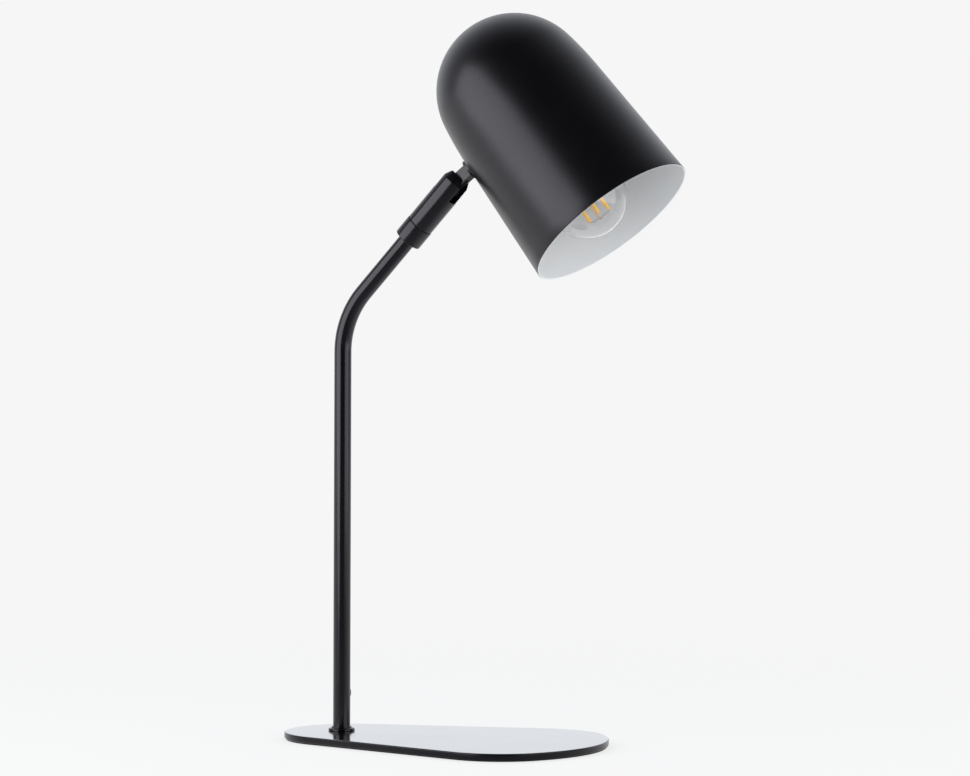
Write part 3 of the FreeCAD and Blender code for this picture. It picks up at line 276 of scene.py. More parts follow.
def feed_row(tree, node, *values):
    """Feeds values to a node's first sockets, in their order."""
    for value, socket in zip(values, node.inputs):
        feed(tree, value, socket)
    return node


def fill(tree, node, values):
    """Feeds values to a node's sockets by their names."""
    for title, value in values.items():
        feed(tree, value, node.inputs[title])
    return node


def place_on(tree):
    """The shaded point in the piece's own coordinates, in metres."""
    return add(tree, "TexCoord").outputs["Object"]


def noise(tree, vector, scale, detail=2.0, roughness=0.5):
    """A noise texture on a vector. The scale is a number or another node's output."""
    texture = add(tree, "TexNoise")
    fill(tree, texture, {"Vector": vector, "Scale": scale, "Detail": detail, "Roughness": roughness})
    return texture.outputs["Fac"]


def sums(tree, operation, first, second, clamp=False):
    """One math node on two numbers or outputs."""
    node = add(tree, "Math", operation=operation, use_clamp=clamp)
    return feed_row(tree, node, first, second).outputs[0]


def vectors(tree, operation, *values):
    """One vector math node. A dot product or a length comes out as a number."""
    node = feed_row(tree, add(tree, "VectorMath", operation=operation), *values)
    return node.outputs["Value" if operation in ("DOT_PRODUCT", "LENGTH") else "Vector"]


def blend(tree, factor, first, second, kind="MIX"):
    """Mixes two colours by a factor."""
    node = add(tree, "Mix", data_type="RGBA", blend_type=kind)
    return fill(tree, node, {"Factor": factor, "A": first, "B": second}).outputs["Result"]


def spread(tree, value, low, high, to_low, to_high):
    """Maps a value's range to another, held at both ends."""
    return feed_row(tree, add(tree, "MapRange"), value, low, high, to_low, to_high).outputs[0]


def sway(tree, value, amount):
    """The middle range of a noise as a drift from -amount to amount."""
    return spread(tree, value, 0.3, 0.7, -amount, amount)


def show_mix(tree, factor, first, second, end="Material Output"):
    """Shows the first node's shader where the factor is 0, and the second's where it is 1."""
    node = feed_row(tree, add(tree, "MixShader"), factor, first.outputs[0], second.outputs[0])
    tree.links.new(node.outputs[0], tree.nodes[end].inputs["Surface"])


# %% [markdown]
# A look is a group that takes a colour, a roughness and a scale. It gives back a colour and a
# roughness that drift over the piece, and a height for the fine relief.

# %% Helpers for shared looks
LOOK_INPUTS = [("Colour", "Color", (0.5, 0.5, 0.5, 1.0)), ("Roughness", "Float", 0.4),
               ("Scale", "Float", 900.0)]
LOOK_OUTPUTS = [("Colour", "Color"), ("Roughness", "Float"), ("Height", "Float")]


def open_group(name, inputs, outputs):
    """A new shader group with named inputs (name, kind, value) and outputs (name, kind)."""
    group = bpy.data.node_groups.new(name, "ShaderNodeTree")
    for title, kind, value in inputs:
        socket = group.interface.new_socket(title, in_out="INPUT", socket_type="NodeSocket" + kind)
        socket.default_value = value
    for title, kind in outputs:
        group.interface.new_socket(title, in_out="OUTPUT", socket_type="NodeSocket" + kind)
    return group, group.nodes.new("NodeGroupInput").outputs, group.nodes.new("NodeGroupOutput")


def close_look(group, start, end, colour, drift, height):
    """Puts out a look: its colour, its roughness with a drift added to it, and its height."""
    roughness = sums(group, "ADD", start["Roughness"], drift)
    fill(group, end, {"Colour": colour, "Roughness": roughness, "Height": height})
    return group


# %% [markdown]
# Powder is sprayed on dry and melts in an oven. It flows into a skin with soft waves of one or two
# millimetres, the orange peel, and a much finer grain in them. A few grains stay a little lighter.

# %% Powder coat
def make_powder_group():
    """Height is six parts of a wave noise and four of a grain noise at four times its scale."""
    group, start, end = open_group("powder_coat", LOOK_INPUTS, LOOK_OUTPUTS)
    spot = place_on(group)
    waves = noise(group, spot, start["Scale"], 2.0)
    grain = noise(group, spot, sums(group, "MULTIPLY", start["Scale"], 4.0), 1.0)
    patches = noise(group, spot, 18.0, 3.0)
    height = sums(group, "ADD", sums(group, "MULTIPLY", waves, 0.6),
                  sums(group, "MULTIPLY", grain, 0.4))
    drift = sums(group, "ADD", sway(group, waves, 0.03), sway(group, patches, 0.025))
    specks = spread(group, grain, 0.66, 0.78, 0.0, 0.3)
    lighter = blend(group, 1.0, start["Colour"], (0.02, 0.02, 0.021, 1.0), "ADD")
    colour = blend(group, specks, start["Colour"], lighter)
    return close_look(group, start, end, colour, drift, height)


# %% [markdown]
# A lathe tool and a wire brush leave fine lines. The lines are a noise that is drawn out fifty times
# along one direction, which a vector input chooses.

# %% Turned and drawn metal
def make_metal_group():
    """Height is a noise on the place times Stretch, whose small part draws it out into lines."""
    inputs = LOOK_INPUTS + [("Stretch", "Vector", (1.0, 1.0, 0.02))]
    group, start, end = open_group("metal_lines", inputs, LOOK_OUTPUTS)
    spot = place_on(group)
    stretched = vectors(group, "MULTIPLY", spot, start["Stretch"])
    lines = noise(group, stretched, start["Scale"], 3.0, 0.6)
    clouds = noise(group, spot, 160.0, 3.0)
    colour = blend(group, spread(group, clouds, 0.35, 0.7, 0.0, 0.35), start["Colour"],
                   (0.36, 0.35, 0.33, 1.0), "MULTIPLY")
    drift = sums(group, "ADD", sway(group, lines, 0.07), spread(group, clouds, 0.3, 0.7, -0.04, 0.08))
    return close_look(group, start, end, colour, drift, lines)


# %% [markdown]
# Moulded plastic and rubber take the fine sparked skin of their mould. Unglazed clay for the
# holder's core is coarser. One group serves both, with another scale and another colour.

# %% Moulded skin
def make_moulded_group():
    """Height is half a cell pattern of rounded pits and half a noise of the same scale."""
    group, start, end = open_group("moulded_skin", LOOK_INPUTS, LOOK_OUTPUTS)
    spot = place_on(group)
    cells = add(group, "TexVoronoi", feature="SMOOTH_F1")
    fill(group, cells, {"Vector": spot, "Scale": start["Scale"]})
    soft = noise(group, spot, start["Scale"], 2.0)
    clouds = noise(group, spot, 60.0, 3.0)
    height = sums(group, "ADD", sums(group, "MULTIPLY", cells.outputs["Distance"], 0.5),
                  sums(group, "MULTIPLY", soft, 0.5))
    colour = blend(group, spread(group, clouds, 0.35, 0.7, 0.0, 0.3), start["Colour"],
                   (0.55, 0.55, 0.55, 1.0), "MULTIPLY")
    drift = sums(group, "ADD", sway(group, clouds, 0.05), sway(group, soft, 0.04))
    return close_look(group, start, end, colour, drift, height)


# %% [markdown]
# Hands and cloths rub a coat where it is proud, so its edges get a little lighter and smoother. An
# edge shows itself by how far a softened normal turns away from the true one. A noise breaks the
# wear up, because no hand rubs evenly.

# %% Wear along edges
def make_wear_group():
    """Mask = ramp(1 - softened normal . true normal, from 0.02 to 0.16) times noise and amount."""
    inputs = [("Width", "Float", 0.5 * MM), ("Amount", "Float", 0.5)]
    group, start, end = open_group("edge_wear", inputs, [("Mask", "Float")])
    softened = fill(group, add(group, "Bevel", samples=4), {"Radius": start["Width"]})
    true = add(group, "NewGeometry").outputs["Normal"]
    turn = vectors(group, "DOT_PRODUCT", softened.outputs["Normal"], true)
    edge = spread(group, sums(group, "SUBTRACT", 1.0, turn), 0.02, 0.16, 0.0, 1.0)
    uneven = spread(group, noise(group, place_on(group), 220.0, 3.0, 0.6), 0.35, 0.65, 0.25, 1.0)
    worn = sums(group, "MULTIPLY", edge, uneven)
    fill(group, end, {"Mask": sums(group, "MULTIPLY", worn, start["Amount"], clamp=True)})
    return group


# %% [markdown]
# Dust lies where a face looks up. It is so thin on a new lamp that it only takes the deepest black
# away, in soft patches.

# %% A veil of dust
def make_dust_group():
    """Mask = ramp(upward part of the normal, from 0.3 to 1) times noise in patches and amount."""
    group, start, end = open_group("dust_veil", [("Amount", "Float", 0.5)], [("Mask", "Float")])
    spot = add(group, "TexCoord").outputs
    parts = feed_row(group, add(group, "SeparateXYZ"), spot["Normal"])
    upward = spread(group, parts.outputs["Z"], 0.3, 1.0, 0.0, 1.0)
    patches = spread(group, noise(group, spot["Object"], 26.0, 5.0, 0.65), 0.35, 0.7, 0.3, 1.0)
    veil = sums(group, "MULTIPLY", upward, patches)
    fill(group, end, {"Mask": sums(group, "MULTIPLY", veil, start["Amount"], clamp=True)})
    return group


# %% [markdown]
# A finish joins one look with the wear and the dust and feeds what they give to the shader. So a
# change to a group reaches every finish that uses it.

# %% Make a finish from the groups
groups = {"powder": make_powder_group(), "metal": make_metal_group(),
          "moulded": make_moulded_group(), "wear": make_wear_group(), "dust": make_dust_group()}
finishes = {}
RUBBED = 1.9
DUST = (0.16, 0.155, 0.15, 1.0)


def new_material(name):
    """A material, its node tree and its Principled shader."""
    material = bpy.data.materials.new(name)
    material.use_nodes = True
    return material, material.node_tree, material.node_tree.nodes["Principled BSDF"]


def add_group(tree, name, **values):
    """Places a shared group in a material with its own values."""
    return fill(tree, add(tree, "Group", node_tree=groups[name]), values)


def finish(name, kind, colour, roughness, scale, bump, metallic=0.0, coat=0.0, wear=0.5, dust=0.1):
    """A material whose colour, roughness and relief come from the groups.

    Wear takes the colour towards RUBBED times itself and the roughness down by up to 0.1. Dust takes
    the colour towards grey and the roughness up. The relief is as deep as bump, in millimetres.
    """
    finishes[name], tree, shader = new_material(name)
    look = add_group(tree, kind, Colour=(*colour, 1.0), Roughness=roughness, Scale=scale).outputs
    worn = add_group(tree, "wear", Amount=wear).outputs["Mask"]
    dusty = add_group(tree, "dust", Amount=dust).outputs["Mask"]
    rubbed = tuple(min(part * RUBBED + 0.01, 0.95) for part in colour) + (1.0,)
    smoother = sums(tree, "SUBTRACT", look["Roughness"], sums(tree, "MULTIPLY", worn, 0.1))
    relief = fill(tree, add(tree, "Bump"), {"Strength": 1.0, "Distance": bump * MM,
                                            "Height": look["Height"]})
    fill(tree, shader, {
        "Base Color": blend(tree, dusty, blend(tree, worn, look["Colour"], rubbed), DUST),
        "Roughness": sums(tree, "ADD", smoother, dusty), "Normal": relief.outputs["Normal"],
        "Metallic": metallic, "Coat Weight": coat,
    })


# %% [markdown]
# The shade is satin black outside and white inside. The stem and the knuckle have the same coat, a
# touch glossier, and so has the flange. The plate's top is glossier still: in the picture it mirrors
# the pale background and the foot of the stem. On its cut edge the coat is satin again. The tongue's
# black is painted lighter than the other coats, a painted sheen for the light on its flat faces, and
# its underside takes a darker, duller copy of it: painted shade. What the black coat mirrors has a
# faint violet cast, as in the picture. Small parts are zinc plated or blacked, and the holder is
# brown-black thermoset.

# %% The lamp's own finishes
BLACK = (0.0028, 0.0026, 0.0042)
finish("shade_black", "powder", BLACK, 0.33, 800.0, 0.008, dust=0.004)
finish("shade_white", "powder", (0.87, 0.885, 0.895), 0.50, 700.0, 0.012, wear=0.2, dust=0.02)
finish("stem_black", "powder", BLACK, 0.19, 900.0, 0.003, dust=0.008)
finish("flange_black", "powder", BLACK, 0.13, 900.0, 0.002, dust=0.008)
finish("knuckle_black", "powder", (0.0043, 0.0041, 0.0057), 0.23, 900.0, 0.004, dust=0.01)
# The tongue's black is made lighter than the other coats: a painted sheen for the light on its flat
# faces.
finish("tongue_black", "powder", (0.036, 0.036, 0.038), 0.30, 900.0, 0.006, dust=0.01)
# A darker, duller copy of the tongue's coat for its underside: painted shade.
finish("tongue_dull", "powder", (0.010, 0.010, 0.012), 0.50, 900.0, 0.006, dust=0.01)
finish("plate_top_black", "powder", BLACK, 0.16, 700.0, 0.002, coat=1.0, dust=0.01)
finish("plate_edge_black", "powder", BLACK, 0.24, 700.0, 0.004, dust=0.01)
finish("zinc", "metal", (0.60, 0.61, 0.62), 0.34, 1400.0, 0.010, metallic=1.0)
finish("blacked_steel", "metal", (0.045, 0.045, 0.047), 0.38, 1400.0, 0.010, metallic=1.0)
finish("brass", "metal", (0.75, 0.55, 0.25), 0.28, 1200.0, 0.008, metallic=1.0, wear=0.2)
finish("cap_metal", "metal", (0.72, 0.72, 0.70), 0.26, 900.0, 0.006, metallic=1.0, wear=0.2)
finish("bright_wire", "metal", (0.62, 0.62, 0.62), 0.30, 2400.0, 0.004, metallic=1.0, wear=0.0)
finish("bakelite", "moulded", (0.022, 0.018, 0.016), 0.27, 500.0, 0.006)
finish("nylon", "moulded", (0.030, 0.030, 0.031), 0.45, 900.0, 0.012)
finish("rubber", "moulded", (0.022, 0.022, 0.022), 0.68, 1100.0, 0.020, wear=0.2)
finish("foam", "moulded", (0.020, 0.020, 0.020), 0.85, 1600.0, 0.060, wear=0.0)
finish("fired_clay", "moulded", (0.74, 0.71, 0.64), 0.62, 1300.0, 0.030, wear=0.2)
finish("black_glass", "moulded", (0.010, 0.010, 0.012), 0.12, 300.0, 0.004, wear=0.0)
VIOLET_CAST = (0.92, 0.905, 1.0, 1.0)
GLOSS_LEVELS = {"shade_black": 0.54, "stem_black": 0.54, "flange_black": 0.45,
                "knuckle_black": 0.54, "tongue_black": 0.56, "tongue_dull": 0.12,
                "plate_edge_black": 0.35}


def adjust(name, values):
    """Feeds further values to the shader of a finish."""
    tree = finishes[name].node_tree
    fill(tree, tree.nodes["Principled BSDF"], values)


adjust("plate_top_black", {"Coat Roughness": 0.10})
for name, level in GLOSS_LEVELS.items():
    adjust(name, {"Specular IOR Level": level, "Specular Tint": VIOLET_CAST})
print(len(finishes), "finishes made")

# %% [markdown]
# Clear glass bends light in its two faces, which is what draws the bright and dark rings at the
# bulb's edge. Faint ripples keep it from looking machined. For a shadow ray the glass is simply
# clear, as a thin wall nearly is, so the bulb doesn't darken what is behind it.

# %% Clear glass
def make_glass(name, colour, roughness):
    """Glass for every ray but a shadow ray, which passes straight through."""
    finishes[name], tree, shader = new_material(name)
    ripples = fill(tree, add(tree, "Bump"), {
        "Distance": 0.05 * MM, "Height": noise(tree, place_on(tree), 45.0, 1.0)})
    fill(tree, shader, {"Base Color": (*colour, 1.0), "Roughness": roughness, "IOR": 1.46,
                        "Transmission Weight": 1.0, "Normal": ripples.outputs["Normal"]})
    show_mix(tree, add(tree, "LightPath").outputs["Is Shadow Ray"], shader,
             add(tree, "BsdfTransparent"))


make_glass("clear_glass", (1.0, 1.0, 1.0), 0.0)
make_glass("mount_glass", (0.97, 0.98, 0.98), 0.04)

# %% [markdown]
# A filament of this kind is a strip with small light emitters in a row, dipped in a yellow phosphor
# gum. Unlit it is a strong warm yellow, a little darker where the gum is thick. A faint emission
# paints a glow on it, though the bulb is not lit.

# %% Phosphor gum
def make_phosphor():
    """Yellow gum: a noise drifts between two tones, and a small emission, a painted glow, lifts both.
    """
    finishes["phosphor"], tree, shader = new_material("phosphor")
    thick = spread(tree, noise(tree, place_on(tree), 420.0, 2.0), 0.35, 0.65, 0.0, 1.0)
    tone = blend(tree, thick, (1.0, 0.66, 0.16, 1.0), (0.98, 0.50, 0.08, 1.0))
    # The emission is a painted glow: the filaments are not lit.
    fill(tree, shader, {"Base Color": tone, "Emission Color": tone, "Emission Strength": 0.35,
                        "Roughness": 0.45})


make_phosphor()
print(sorted(finishes))

# %% [markdown]
# ## Hand over pieces
#
# Each new piece rides on the body that its imported node belongs to, takes that node's place, and
# gets the finishes that it is given.

# %% Hand a piece over
bodies_of = {name: node["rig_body"] for name, node in nodes.items()}


def stands_for(piece, node, *looks):
    """Gives a piece its finishes, lets it ride on the node's body and hides the node."""
    for look in looks:
        piece.data.materials.append(finishes[look])
    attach(piece, bodies_of[node])
    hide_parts(node)
    print(piece.name, "for", node, len(piece.data.polygons), "faces")
    return piece


# %% [markdown]
# A piece can carry a second finish on some of its faces. A hole is made by taking the form of a
# plain rod or block out of the piece. The rod or block is then deleted.

# %% Choose faces and cut holes
def face_rows(piece, title):
    """One vector for each face of a piece, such as its normal or its center."""
    rows = np.zeros(len(piece.data.polygons) * 3)
    piece.data.polygons.foreach_get(title, rows)
    return rows.reshape(-1, 3)


def second_finish(piece, chosen):
    """Gives the second finish of a piece to its chosen faces."""
    piece.data.polygons.foreach_set("material_index", chosen.astype(np.int32))
    piece.data.update()
    print(int(chosen.sum()), "faces of", piece.name, "have its second finish")


def modify(piece, name, kind, **settings):
    """Adds a modifier with its settings to a piece."""
    work = piece.modifiers.new(name, kind)
    for title, value in settings.items():
        setattr(work, title, value)


def cut(piece, *cutters):
    """Takes other pieces away from a piece, for good, and deletes them."""
    for cutter in cutters:
        modify(piece, "cut", "BOOLEAN", operation="DIFFERENCE", solver="EXACT", object=cutter)
    seen = piece.evaluated_get(bpy.context.evaluated_depsgraph_get())
    mesh = bpy.data.meshes.new_from_object(seen)
    piece.modifiers.clear()
    piece.data = mesh
    for cutter in cutters:
        bpy.data.objects.remove(cutter)


def rod(name, spot, axis, radius, low, high, up_mm, sides=48):
    """A plain round rod for cutting, along Y ('side') or along east, at a height of a place."""
    origin, up, east = spot
    middle = origin + up_mm * up
    along, first = (ACROSS, east) if axis == "side" else (east, up)
    t = around(sides)
    circle = np.cos(t)[:, None] * first + np.sin(t)[:, None] * np.cross(along, first)
    section = np.array([(0, low), (radius, low), (radius, high), (0, high)], float)
    grid = section[:, None, :1] * circle[None] + section[:, None, 1:] * along + middle
    return surface(name, grid * MM)


# %% [markdown]
# ## The shade
#
# The shade is spun from an aluminium disc over a wooden form. It flares a little to the rim, eases
# through two wide arcs and closes in a round crown. The rim is dressed round, and the white of the
# inside wraps over it as a thin light line. One section holds both sides of the wall, and the faces
# on its inner side take the white finish.

# %% Work out the shade's section
RIM, FLARE, SKIRT, WALL = 65.4, 0.05, 103.6, 1.2
FLANK, FLANK_TURN = 271.3, 9.43
SHOULDER, SHOULDER_TURN = 60.7, 18.0


def shade_wall(inset):
    """Half section of one face of the shade, from the rim to the crown, moved in by an inset."""
    flare_turn = np.degrees(np.arctan(FLARE))
    skirt = RIM - FLARE * SKIRT
    flank_centre = (skirt - FLANK * np.cos(np.radians(flare_turn)),
                    SKIRT - FLANK * np.sin(np.radians(flare_turn)))
    flank = arc(flank_centre, FLANK - inset, flare_turn, FLANK_TURN, 14)
    turn = np.radians(FLANK_TURN)
    shoulder_centre = (flank_centre[0] + (FLANK - SHOULDER) * np.cos(turn),
                       flank_centre[1] + (FLANK - SHOULDER) * np.sin(turn))
    shoulder = arc(shoulder_centre, SHOULDER - inset, FLANK_TURN, SHOULDER_TURN, 8)[1:]
    turn = np.radians(SHOULDER_TURN)
    crown_radius = (shoulder_centre[0] + SHOULDER * np.cos(turn)) / np.cos(turn)
    crown_height = shoulder_centre[1] + (SHOULDER - crown_radius) * np.sin(turn)
    crown = arc((0.0, crown_height), crown_radius - inset, SHOULDER_TURN, 90.0, 34)[1:]
    foot = np.array([[RIM - inset, WALL / 2]])
    run = np.linspace(0, 1, 14)[:, None]
    skirt_rows = (foot + run * (flank[:1] - foot))[:-1]
    return np.concatenate([skirt_rows, flank, shoulder, crown])


outside = shade_wall(0.0)
inside = shade_wall(WALL)
bead = arc((RIM - WALL / 2, WALL / 2), WALL / 2, -180.0, 0.0, 11)[1:-1]
section = np.concatenate([inside[::-1], bead, outside])
print("crown top at", round(outside[-1, 1], 2), "mm from the rim,", len(section), "rows")

# %% Make the shade
STUD_STATION, STUD_WAY = 103.0, 5.1
shade = turned("shade_shell", section, HEAD, sides=192, sharp_turn=50.0)
shade.data.materials.append(finishes["shade_black"])
shade.data.materials.append(finishes["shade_white"])


def paint_inside(piece):
    """Gives the white finish to the faces on the inner side of the wall's middle.

    A face's radius and height come from its middle: height = (p - origin) . up, and radius is the
    length of what is left. A face is inside if it lies nearer to the middle of the rim than the
    wall's middle does in the same direction, or within the light part of the rim's bead.
    """
    origin, up, _ = HEAD
    gap = face_rows(piece, "center") / MM - origin
    height = gap @ up
    radius = np.linalg.norm(gap - height[:, None] * up, axis=1)
    wall = shade_wall(WALL / 2)
    turn = np.arctan2(height, radius)
    wall_turn = np.arctan2(wall[:, 1], wall[:, 0])
    reach = np.hypot(wall[:, 0], wall[:, 1])
    within = np.hypot(radius, height) < np.interp(turn, wall_turn, reach)
    bead_light = (height < WALL * 0.4) & (radius < RIM - WALL * 0.4)
    second_finish(piece, within | bead_light)


paint_inside(shade)
cut(shade, rod("stud_way", HEAD, "east", STUD_WAY, -RIM - 5.0, -40.0, up_mm=STUD_STATION))
stands_for(shade, "shade")

# %% [markdown]
# ## The stem
#
# The stem is one steel tube, bent round a former. Its wall is a closed ring in the section and that
# ring is carried along the path: an upright run, an arc and a straight arm. At each point of the
# path the section stands square to it. A hole in its far side takes the rubber inlet for the lead.

# %% Make the stem
STEM, STEM_BORE = 6.5, 5.0
PLATE_TOP, STEM_RISE, BEND = 5.8, 292.3, 65.2
ARM_END = 63.6
INLET_HEIGHT, INLET_WAY = 34.0, 3.8


def carried(name, path, leans, radii, sides=56):
    """A round wall along a path in the upright plane.

    At a path point p with lean a, the point at turn t is p + r (cos t (cos a, 0, -sin a) +
    sin t Y). The outer radius runs up the path and the inner one back down, so the wall closes.
    """
    t = around(sides)
    spines = []
    for radius, order in ((radii[0], slice(None)), (radii[1], slice(None, None, -1))):
        a = leans[order][:, None]
        first = np.stack([np.cos(a), np.zeros_like(a), -np.sin(a)], -1)
        spokes = np.cos(t)[None, :, None] * first + np.sin(t)[None, :, None] * ACROSS
        spines.append(path[order][:, None, :] + radius * spokes)
    return surface(name, np.concatenate(spines) * MM, ring=True, sharp_turn=50.0)


rise = np.linspace(PLATE_TOP, STEM_RISE, 16)
upright = np.stack([0 * rise, 0 * rise, rise], 1)
turns = np.radians(np.linspace(0, BEND_TURN, 40))
bend = np.stack([BEND * (1 - np.cos(turns)), 0 * turns, STEM_RISE + BEND * np.sin(turns)], 1)
reach = np.linspace(0, ARM_END, 8)[1:, None]
arm = bend[-1] + reach * ARM[1]
path = np.concatenate([upright, bend[1:], arm])
leans = np.concatenate([0 * rise, turns[1:], np.full(len(reach), turns[-1])])
stem = carried("stem_pipe", path, leans, (STEM, STEM_BORE))
cut(stem, rod("inlet_way", TABLE, "side", INLET_WAY, 0.0, 12.0, up_mm=INLET_HEIGHT))
stands_for(stem, "stem_tube", "stem_black")

# %% [markdown]
# ## The foot plate
#
# The plate is cut from five-millimetre steel with a laser, and its edges are broken before it is
# coated, so light catches its upper edge as a thin line. Its outline is an arc round the stem, two
# straight flanks, two rounded corners and a wide far arc, each of which runs into the next. To break
# the edge, the same outline is drawn again with every arc's radius made smaller.

# %% Make the foot plate
TOE_X, TOE = 9.0, 51.1
WIDE_X, WIDE_HALF, FAR_LENGTH, CORNER_SHARE = 146.1, 84.7, 63.9, 0.83


def pear(inset):
    """Outline of the plate, moved in by an inset, as points with the same count for any inset."""
    corner = FAR_LENGTH * CORNER_SHARE
    offset = WIDE_HALF - corner
    slack = FAR_LENGTH - corner
    far_back = (offset ** 2 - slack ** 2) / (2 * slack)
    far = FAR_LENGTH + far_back
    span = np.hypot(WIDE_X - TOE_X, offset)
    normal = np.degrees(np.arctan2(offset, WIDE_X - TOE_X) + np.arccos((TOE - corner) / span))
    swing = np.degrees(np.arctan2(offset, far_back))
    return np.concatenate([
        arc((TOE_X, 0), TOE - inset, normal, 360 - normal, 80),
        arc((WIDE_X, -offset), corner - inset, -normal, -swing, 40),
        arc((WIDE_X - far_back, 0), far - inset, -swing, swing, 30)[1:-1],
        arc((WIDE_X, offset), corner - inset, swing, normal, 40),
    ])


def slab(name, steps, middle):
    """Closed slab from (inset, height) steps, each the plate's outline at that height.

    The first and last step shrink to one point in the middle, which closes the flat faces.
    """
    count = len(pear(0.0))
    rows = [np.column_stack([pear(inset), np.full(count, height)]) for inset, height in steps]
    ends = [np.tile([*middle, steps[k][1]], (count, 1)) for k in (0, -1)]
    return surface(name, np.stack([ends[0], *rows, ends[1]]) * MM, sharp_turn=30.0)


PAD, PAD_INSET, FACE_INSET = 0.8, 1.5, 3.0
PLATE_MIDDLE = (100.0, 0.0)
edge = eased([(FACE_INSET, PAD, 0), (0.0, PAD, 1.5), (0.0, PLATE_TOP, 1.1),
              (FACE_INSET, PLATE_TOP, 0)], steps=7)
foot_slab = slab("foot_slab", edge, PLATE_MIDDLE)
stands_for(foot_slab, "base_plate", "plate_edge_black", "plate_top_black")
second_finish(foot_slab, face_rows(foot_slab, "normal")[:, 2] > 0.9)
foam_sheet = slab("foam_sheet", [(PAD_INSET, 0.0), (PAD_INSET, PAD)], PLATE_MIDDLE)
stands_for(foam_sheet, "base_pad", "foam")

# %% [markdown]
# ## Flange and collar
#
# Both are turned from bar and slid over the tube. Their sections are closed rings, with each corner
# eased by the length that a coat of paint and a deburring tool give it.

# %% Make the flange and the collar
FLANGE_BORE, FLANGE, FLANGE_TOP, BEAD, BEAD_TOP = 6.52, 10.0, 8.0, 7.7, 9.2
flange_section = eased([
    (FLANGE_BORE, PLATE_TOP, 0), (FLANGE, PLATE_TOP, 0.3), (FLANGE, FLANGE_TOP, 1.4),
    (BEAD, FLANGE_TOP, 0.3), (BEAD, BEAD_TOP, 0.8), (FLANGE_BORE, BEAD_TOP, 0.1),
], closed=True)
flange = turned("foot_ring", flange_section, TABLE, ring=True, sharp_turn=60.0)
stands_for(flange, "foot_flange", "flange_black")

SOCKET, STUD_HOLE, COLLAR, COLLAR_FOOT, COLLAR_TOP = 6.6, 5.02, 10.75, 53.6, 68.4
SCREW_WAY, SCREW_STATION = 2.02, 58.6
collar_section = eased([
    (SOCKET, COLLAR_FOOT, 0.2), (COLLAR, COLLAR_FOOT, 0.7), (COLLAR, COLLAR_TOP, 0.4),
    (STUD_HOLE, COLLAR_TOP, 0), (STUD_HOLE, ARM_END, 0), (SOCKET, ARM_END, 0),
], closed=True)
collar = turned("collar_sleeve", collar_section, ARM, ring=True, sharp_turn=60.0)
cut(collar, rod("collar_screw_way", ARM, "side", SCREW_WAY, 0.0, 16.0, up_mm=SCREW_STATION))
stands_for(collar, "arm_collar", "knuckle_black")

# %% [markdown]
# ## The knuckle
#
# The knuckle's body is turned with a tapered end and then slotted across it on a mill, so the
# tongue's eye can tilt between its two cheeks. The slot runs right through. The pin's hole goes in
# from the far side and stops inside the near cheek, so the near side is plain. The turned section
# comes first and the cuts after it, as on the real machine. A small bevel then breaks the edges that
# the cutter left.

# %% Make the knuckle's body
def block(name, spot, east, side, up):
    """A plain block for cutting, between two limits along each direction of a place."""
    corners = ((east[0], side[0]), (east[1], side[0]), (east[1], side[1]), (east[0], side[1]))
    rings = [[at(spot, e, s, u) for e, s in corners] for u in up]
    ends = [[at(spot, sum(east) / 2, sum(side) / 2, u)] * 4 for u in up]
    return surface(name, np.array([ends[0], rings[0], rings[1], ends[1]]), sharp_turn=30.0)


EDGE_TURN = 35.0


def bevel(piece, width_mm):
    """Breaks the edges that turn by more than EDGE_TURN with a small round bevel."""
    modify(piece, "edges", "BEVEL", width=width_mm * MM, segments=2, limit_method="ANGLE",
           angle_limit=np.radians(EDGE_TURN), harden_normals=True, use_clamp_overlap=True)


KNUCKLE, KNUCKLE_FOOT, TAPER_FOOT = 10.45, 69.0, 111.4
KNUCKLE_TIP, KNUCKLE_END = 8.1, 117.8
SPIGOT_BORE, SPIGOT_BORE_TOP, LEAD_BORE = 6.86, 85.7, 3.5
SLOT_HALF, SLOT_FOOT = 6.0, 98.5
PIN_WAY, PIN_STATION, GUIDE_WAY, GUIDE_STATION = 2.02, 105.0, 1.52, 78.1
knuckle_section = eased([
    (SPIGOT_BORE, KNUCKLE_FOOT, 0), (KNUCKLE, KNUCKLE_FOOT, 0.35), (KNUCKLE, TAPER_FOOT, 0.8),
    (KNUCKLE_TIP, KNUCKLE_END, 0.9), (LEAD_BORE, KNUCKLE_END, 0), (LEAD_BORE, SPIGOT_BORE_TOP, 0),
    (SPIGOT_BORE, SPIGOT_BORE_TOP, 0),
], closed=True)
knuckle = turned("knuckle_barrel", knuckle_section, ARM, sides=128, ring=True, sharp_turn=40.0)
cut(knuckle,
    block("slot_way", ARM, (-15.0, 15.0), (-SLOT_HALF, SLOT_HALF), (SLOT_FOOT, 123.0)),
    rod("pin_way", ARM, "side", PIN_WAY, -9.0, 15.0, up_mm=PIN_STATION),
    rod("guide_way", ARM, "side", GUIDE_WAY, 0.0, 15.0, up_mm=GUIDE_STATION))
bevel(knuckle, 0.22)
smooth(knuckle.data, 40.0)
stands_for(knuckle, "knuckle_body", "knuckle_black")

# %% [markdown]
# ## Small parts with broken edges
#
# Nuts, small screws, the pin, the strap, the tongue, the rubber inlet and the holder's core and
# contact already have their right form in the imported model. What they lack is the small radius on
# their edges that catches light. A copy of each is merged, its flat faces are joined into one face
# each, and a bevel follows the edges that are left.

